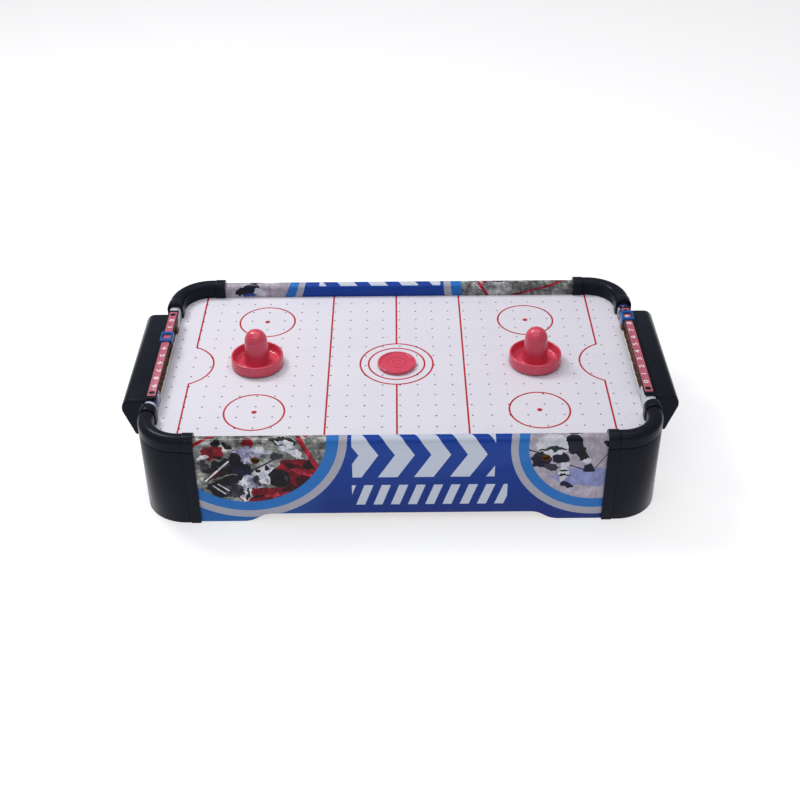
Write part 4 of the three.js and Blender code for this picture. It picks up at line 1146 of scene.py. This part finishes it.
def strikers():
    """A cup-shaped striker with a domed knob, on a felt pad."""
    for node in ("striker_left", "striker_right"):
        low, high = box_mm(node)
        base = (high.x - low.x) / 2
        rim, floor, knob = FIELD_Z + 12.8, FIELD_Z + 3.6, 12.2
        body = rounded([
            (0, low.z), (base, low.z, 0.9), (base - 0.35, rim, 1.1), (base - 2.4, rim - 0.1, 0.9),
            (base - 3.0, floor, 3.2), (knob + 1.6, floor, 3.4), (knob - 0.4, high.z - 13),
        ], closed=False, steps=7)
        dome = arc(0, high.z - 12.6, (knob - 0.42, 12.6), 2, 90, 22)
        turned(f"{node}_body", body + dome[:-1] + [(0, high.z)], 96, node, "red_plastic", node, 50)

        pad = node.replace("striker", "striker_felt")
        low, high = box_mm(pad)
        reach = (high.x - low.x) / 2
        outline = rounded([(0, low.z), (reach, low.z, 0.35), (reach, high.z, 0.35), (0, high.z)],
                          closed=False, steps=4)
        turned(f"{node}_pad", outline, 72, pad, "felt", node, 50)


def puck():
    """A flat puck with a raised rim and two fine rings in its face."""
    low, high = box_mm("puck")
    radius = (high.x - low.x) / 2
    face, rim = high.z - 0.9, 17.35

    def ring(at):
        return [(at + 0.7, face), (at + 0.35, face - 0.5), (at - 0.35, face - 0.5), (at - 0.7, face)]

    outline = rounded([(0, low.z), (radius, low.z, 0.8), (radius, high.z, 0.9), (rim + 0.5, high.z, 0.4),
                       (rim, face, 0.3), (rim - 2, face)], closed=False)
    outline += ring(9.6) + ring(4.06) + [(0, face)]
    turned("puck_disc", outline, 96, "puck", "red_plastic", "puck", 40)


# ---- parts under the table ----

def softened(node, body, width):
    """A copy of a CAD solid with its edges rounded over, which stands for it."""
    piece = linked(f"{node}_shell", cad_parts[node].data.copy())
    piece.data.materials.clear()
    merged(piece.data, MERGE.solids, flat=True)
    bevel(piece, width)
    stand_for(piece, node, "black_plastic", body=body)


def grille():
    """Round air inlet cover with rounded slots and a stepped rim."""
    low, high = box_mm("inlet_grille")
    radius, slots, half, pitch, inlet = high.x, 7, 1.7, 7.6, 31
    outline = rounded([(0, low.z + 0.5), (radius - 6, low.z + 0.5), (radius - 5.4, low.z),
                       (radius, low.z, 0.7), (radius, high.z, 0.2), (0, high.z)], closed=False)
    piece = mesh_object("grille_disc", *lathe(outline, 96))
    for x in [(i - (slots - 1) / 2) * pitch for i in range(slots)]:
        reach = math.sqrt(inlet ** 2 - x ** 2) - half
        cut(piece, prism(arc(x, reach, half, 0, 180) + arc(x, -reach, half, 180, 360), "Z",
                         low.z - 1, high.z + 1))
    merged(piece.data, MERGE.slivers, empty=True)
    stand_for(piece, "inlet_grille", "black_plastic")


def battery():
    softened("battery_box", "table", 0.6)
    softened("battery_door", "battery_door", 0.3)


def switch():
    """Snap-in rocker switch: a bezel round a well, and a rocker with a hollowed face."""
    low, high = box_mm("switch_body")
    x, z = (low.x + high.x) / 2, (low.z + high.z) / 2
    (tall, wide), (deep_x, deep_z), (well_x, well_z) = (10.5, 7.5), (6.4, 9.5), (5.3, 8)  # half sizes
    bezel_in = OUTER_Y + GAP
    bezel = [(z + a, x + b, 1.2) for a, b in ((-tall, -wide), (-tall, wide), (tall, wide), (tall, -wide))]
    piece = mesh_object("switch_housing", *prism(rounded(bezel), "Y", bezel_in, high.y))
    join(piece, block(x - deep_x, x + deep_x, low.y, bezel_in + 1, z - deep_z, z + deep_z))
    cut(piece, block(x - well_x, x + well_x, bezel_in - 7, bezel_in + 3, z - well_z, z + well_z))
    bevel(piece, 0.3)
    stand_for(piece, "switch_body", "black_plastic")
    softened("switch_rocker", "switch_rocker", 0.35)


CARRIED = {  # CAD nodes whose shape stays, by their finishes
    "hardboard": ["base_board"], "raw_board": ["batten_front", "batten_back"],
    "black_plastic": ["fan_housing"], "rotor_plastic": ["fan_rotor"], "motor_can": ["fan_motor"],
    "spring_steel": ["contact_strip_front", "contact_strip_back"],
    "lead_cover": ["battery_lead", "motor_lead"],
    "cell_jacket": [f"cell_{number}" for number in range(1, 7)],
    "screw_steel": [f"goal_box_screw_{side}_{end}" for side, _ in SIDES for end, _ in FACES],
}


# ---- the table ----

make_camera()
make_stage()
moulded("black_plastic", BLACK, 0.2, 1.2, Specular_IOR_Level=0.065, Specular_Tint=(0.8, 0.87, 1, 1))
moulded("rotor_plastic", srgb(208, 208, 212), 0.4, 1.08)
moulded("blue_plastic", srgb(6, 80, 154), 0.36, 1.15, Specular_IOR_Level=0.35)
moulded("lead_cover", srgb(140, 22, 34), 0.45, 1.15)
raw_board("raw_board")
raw_board("hardboard", srgb(96, 68, 44), 0.4)
raw_board("notched_board", coat=notch_coat)
metal("screw_steel", srgb(84, 84, 88), 0.38, (1, 1, 1))
metal("yellow_zinc", srgb(150, 112, 66), 0.42, (1, 1, 1))
metal("spring_steel", srgb(190, 190, 186), 0.3)
metal("motor_can", srgb(182, 184, 188), 0.28)
for finish in (felt_finish, red_finish, cell_finish, strip_finish, digit_finish, field_finish):
    finish()
for wrap in (side_wrap, end_wrap):
    wrap()
for build in (playfield, side_boards, end_boards, corners, goal_boxes, score_keeping, panel_screws,
              strikers, puck, grille, battery, switch):
    build()
for name, nodes in CARRIED.items():
    for node in nodes:
        coat(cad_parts[node].data, name)
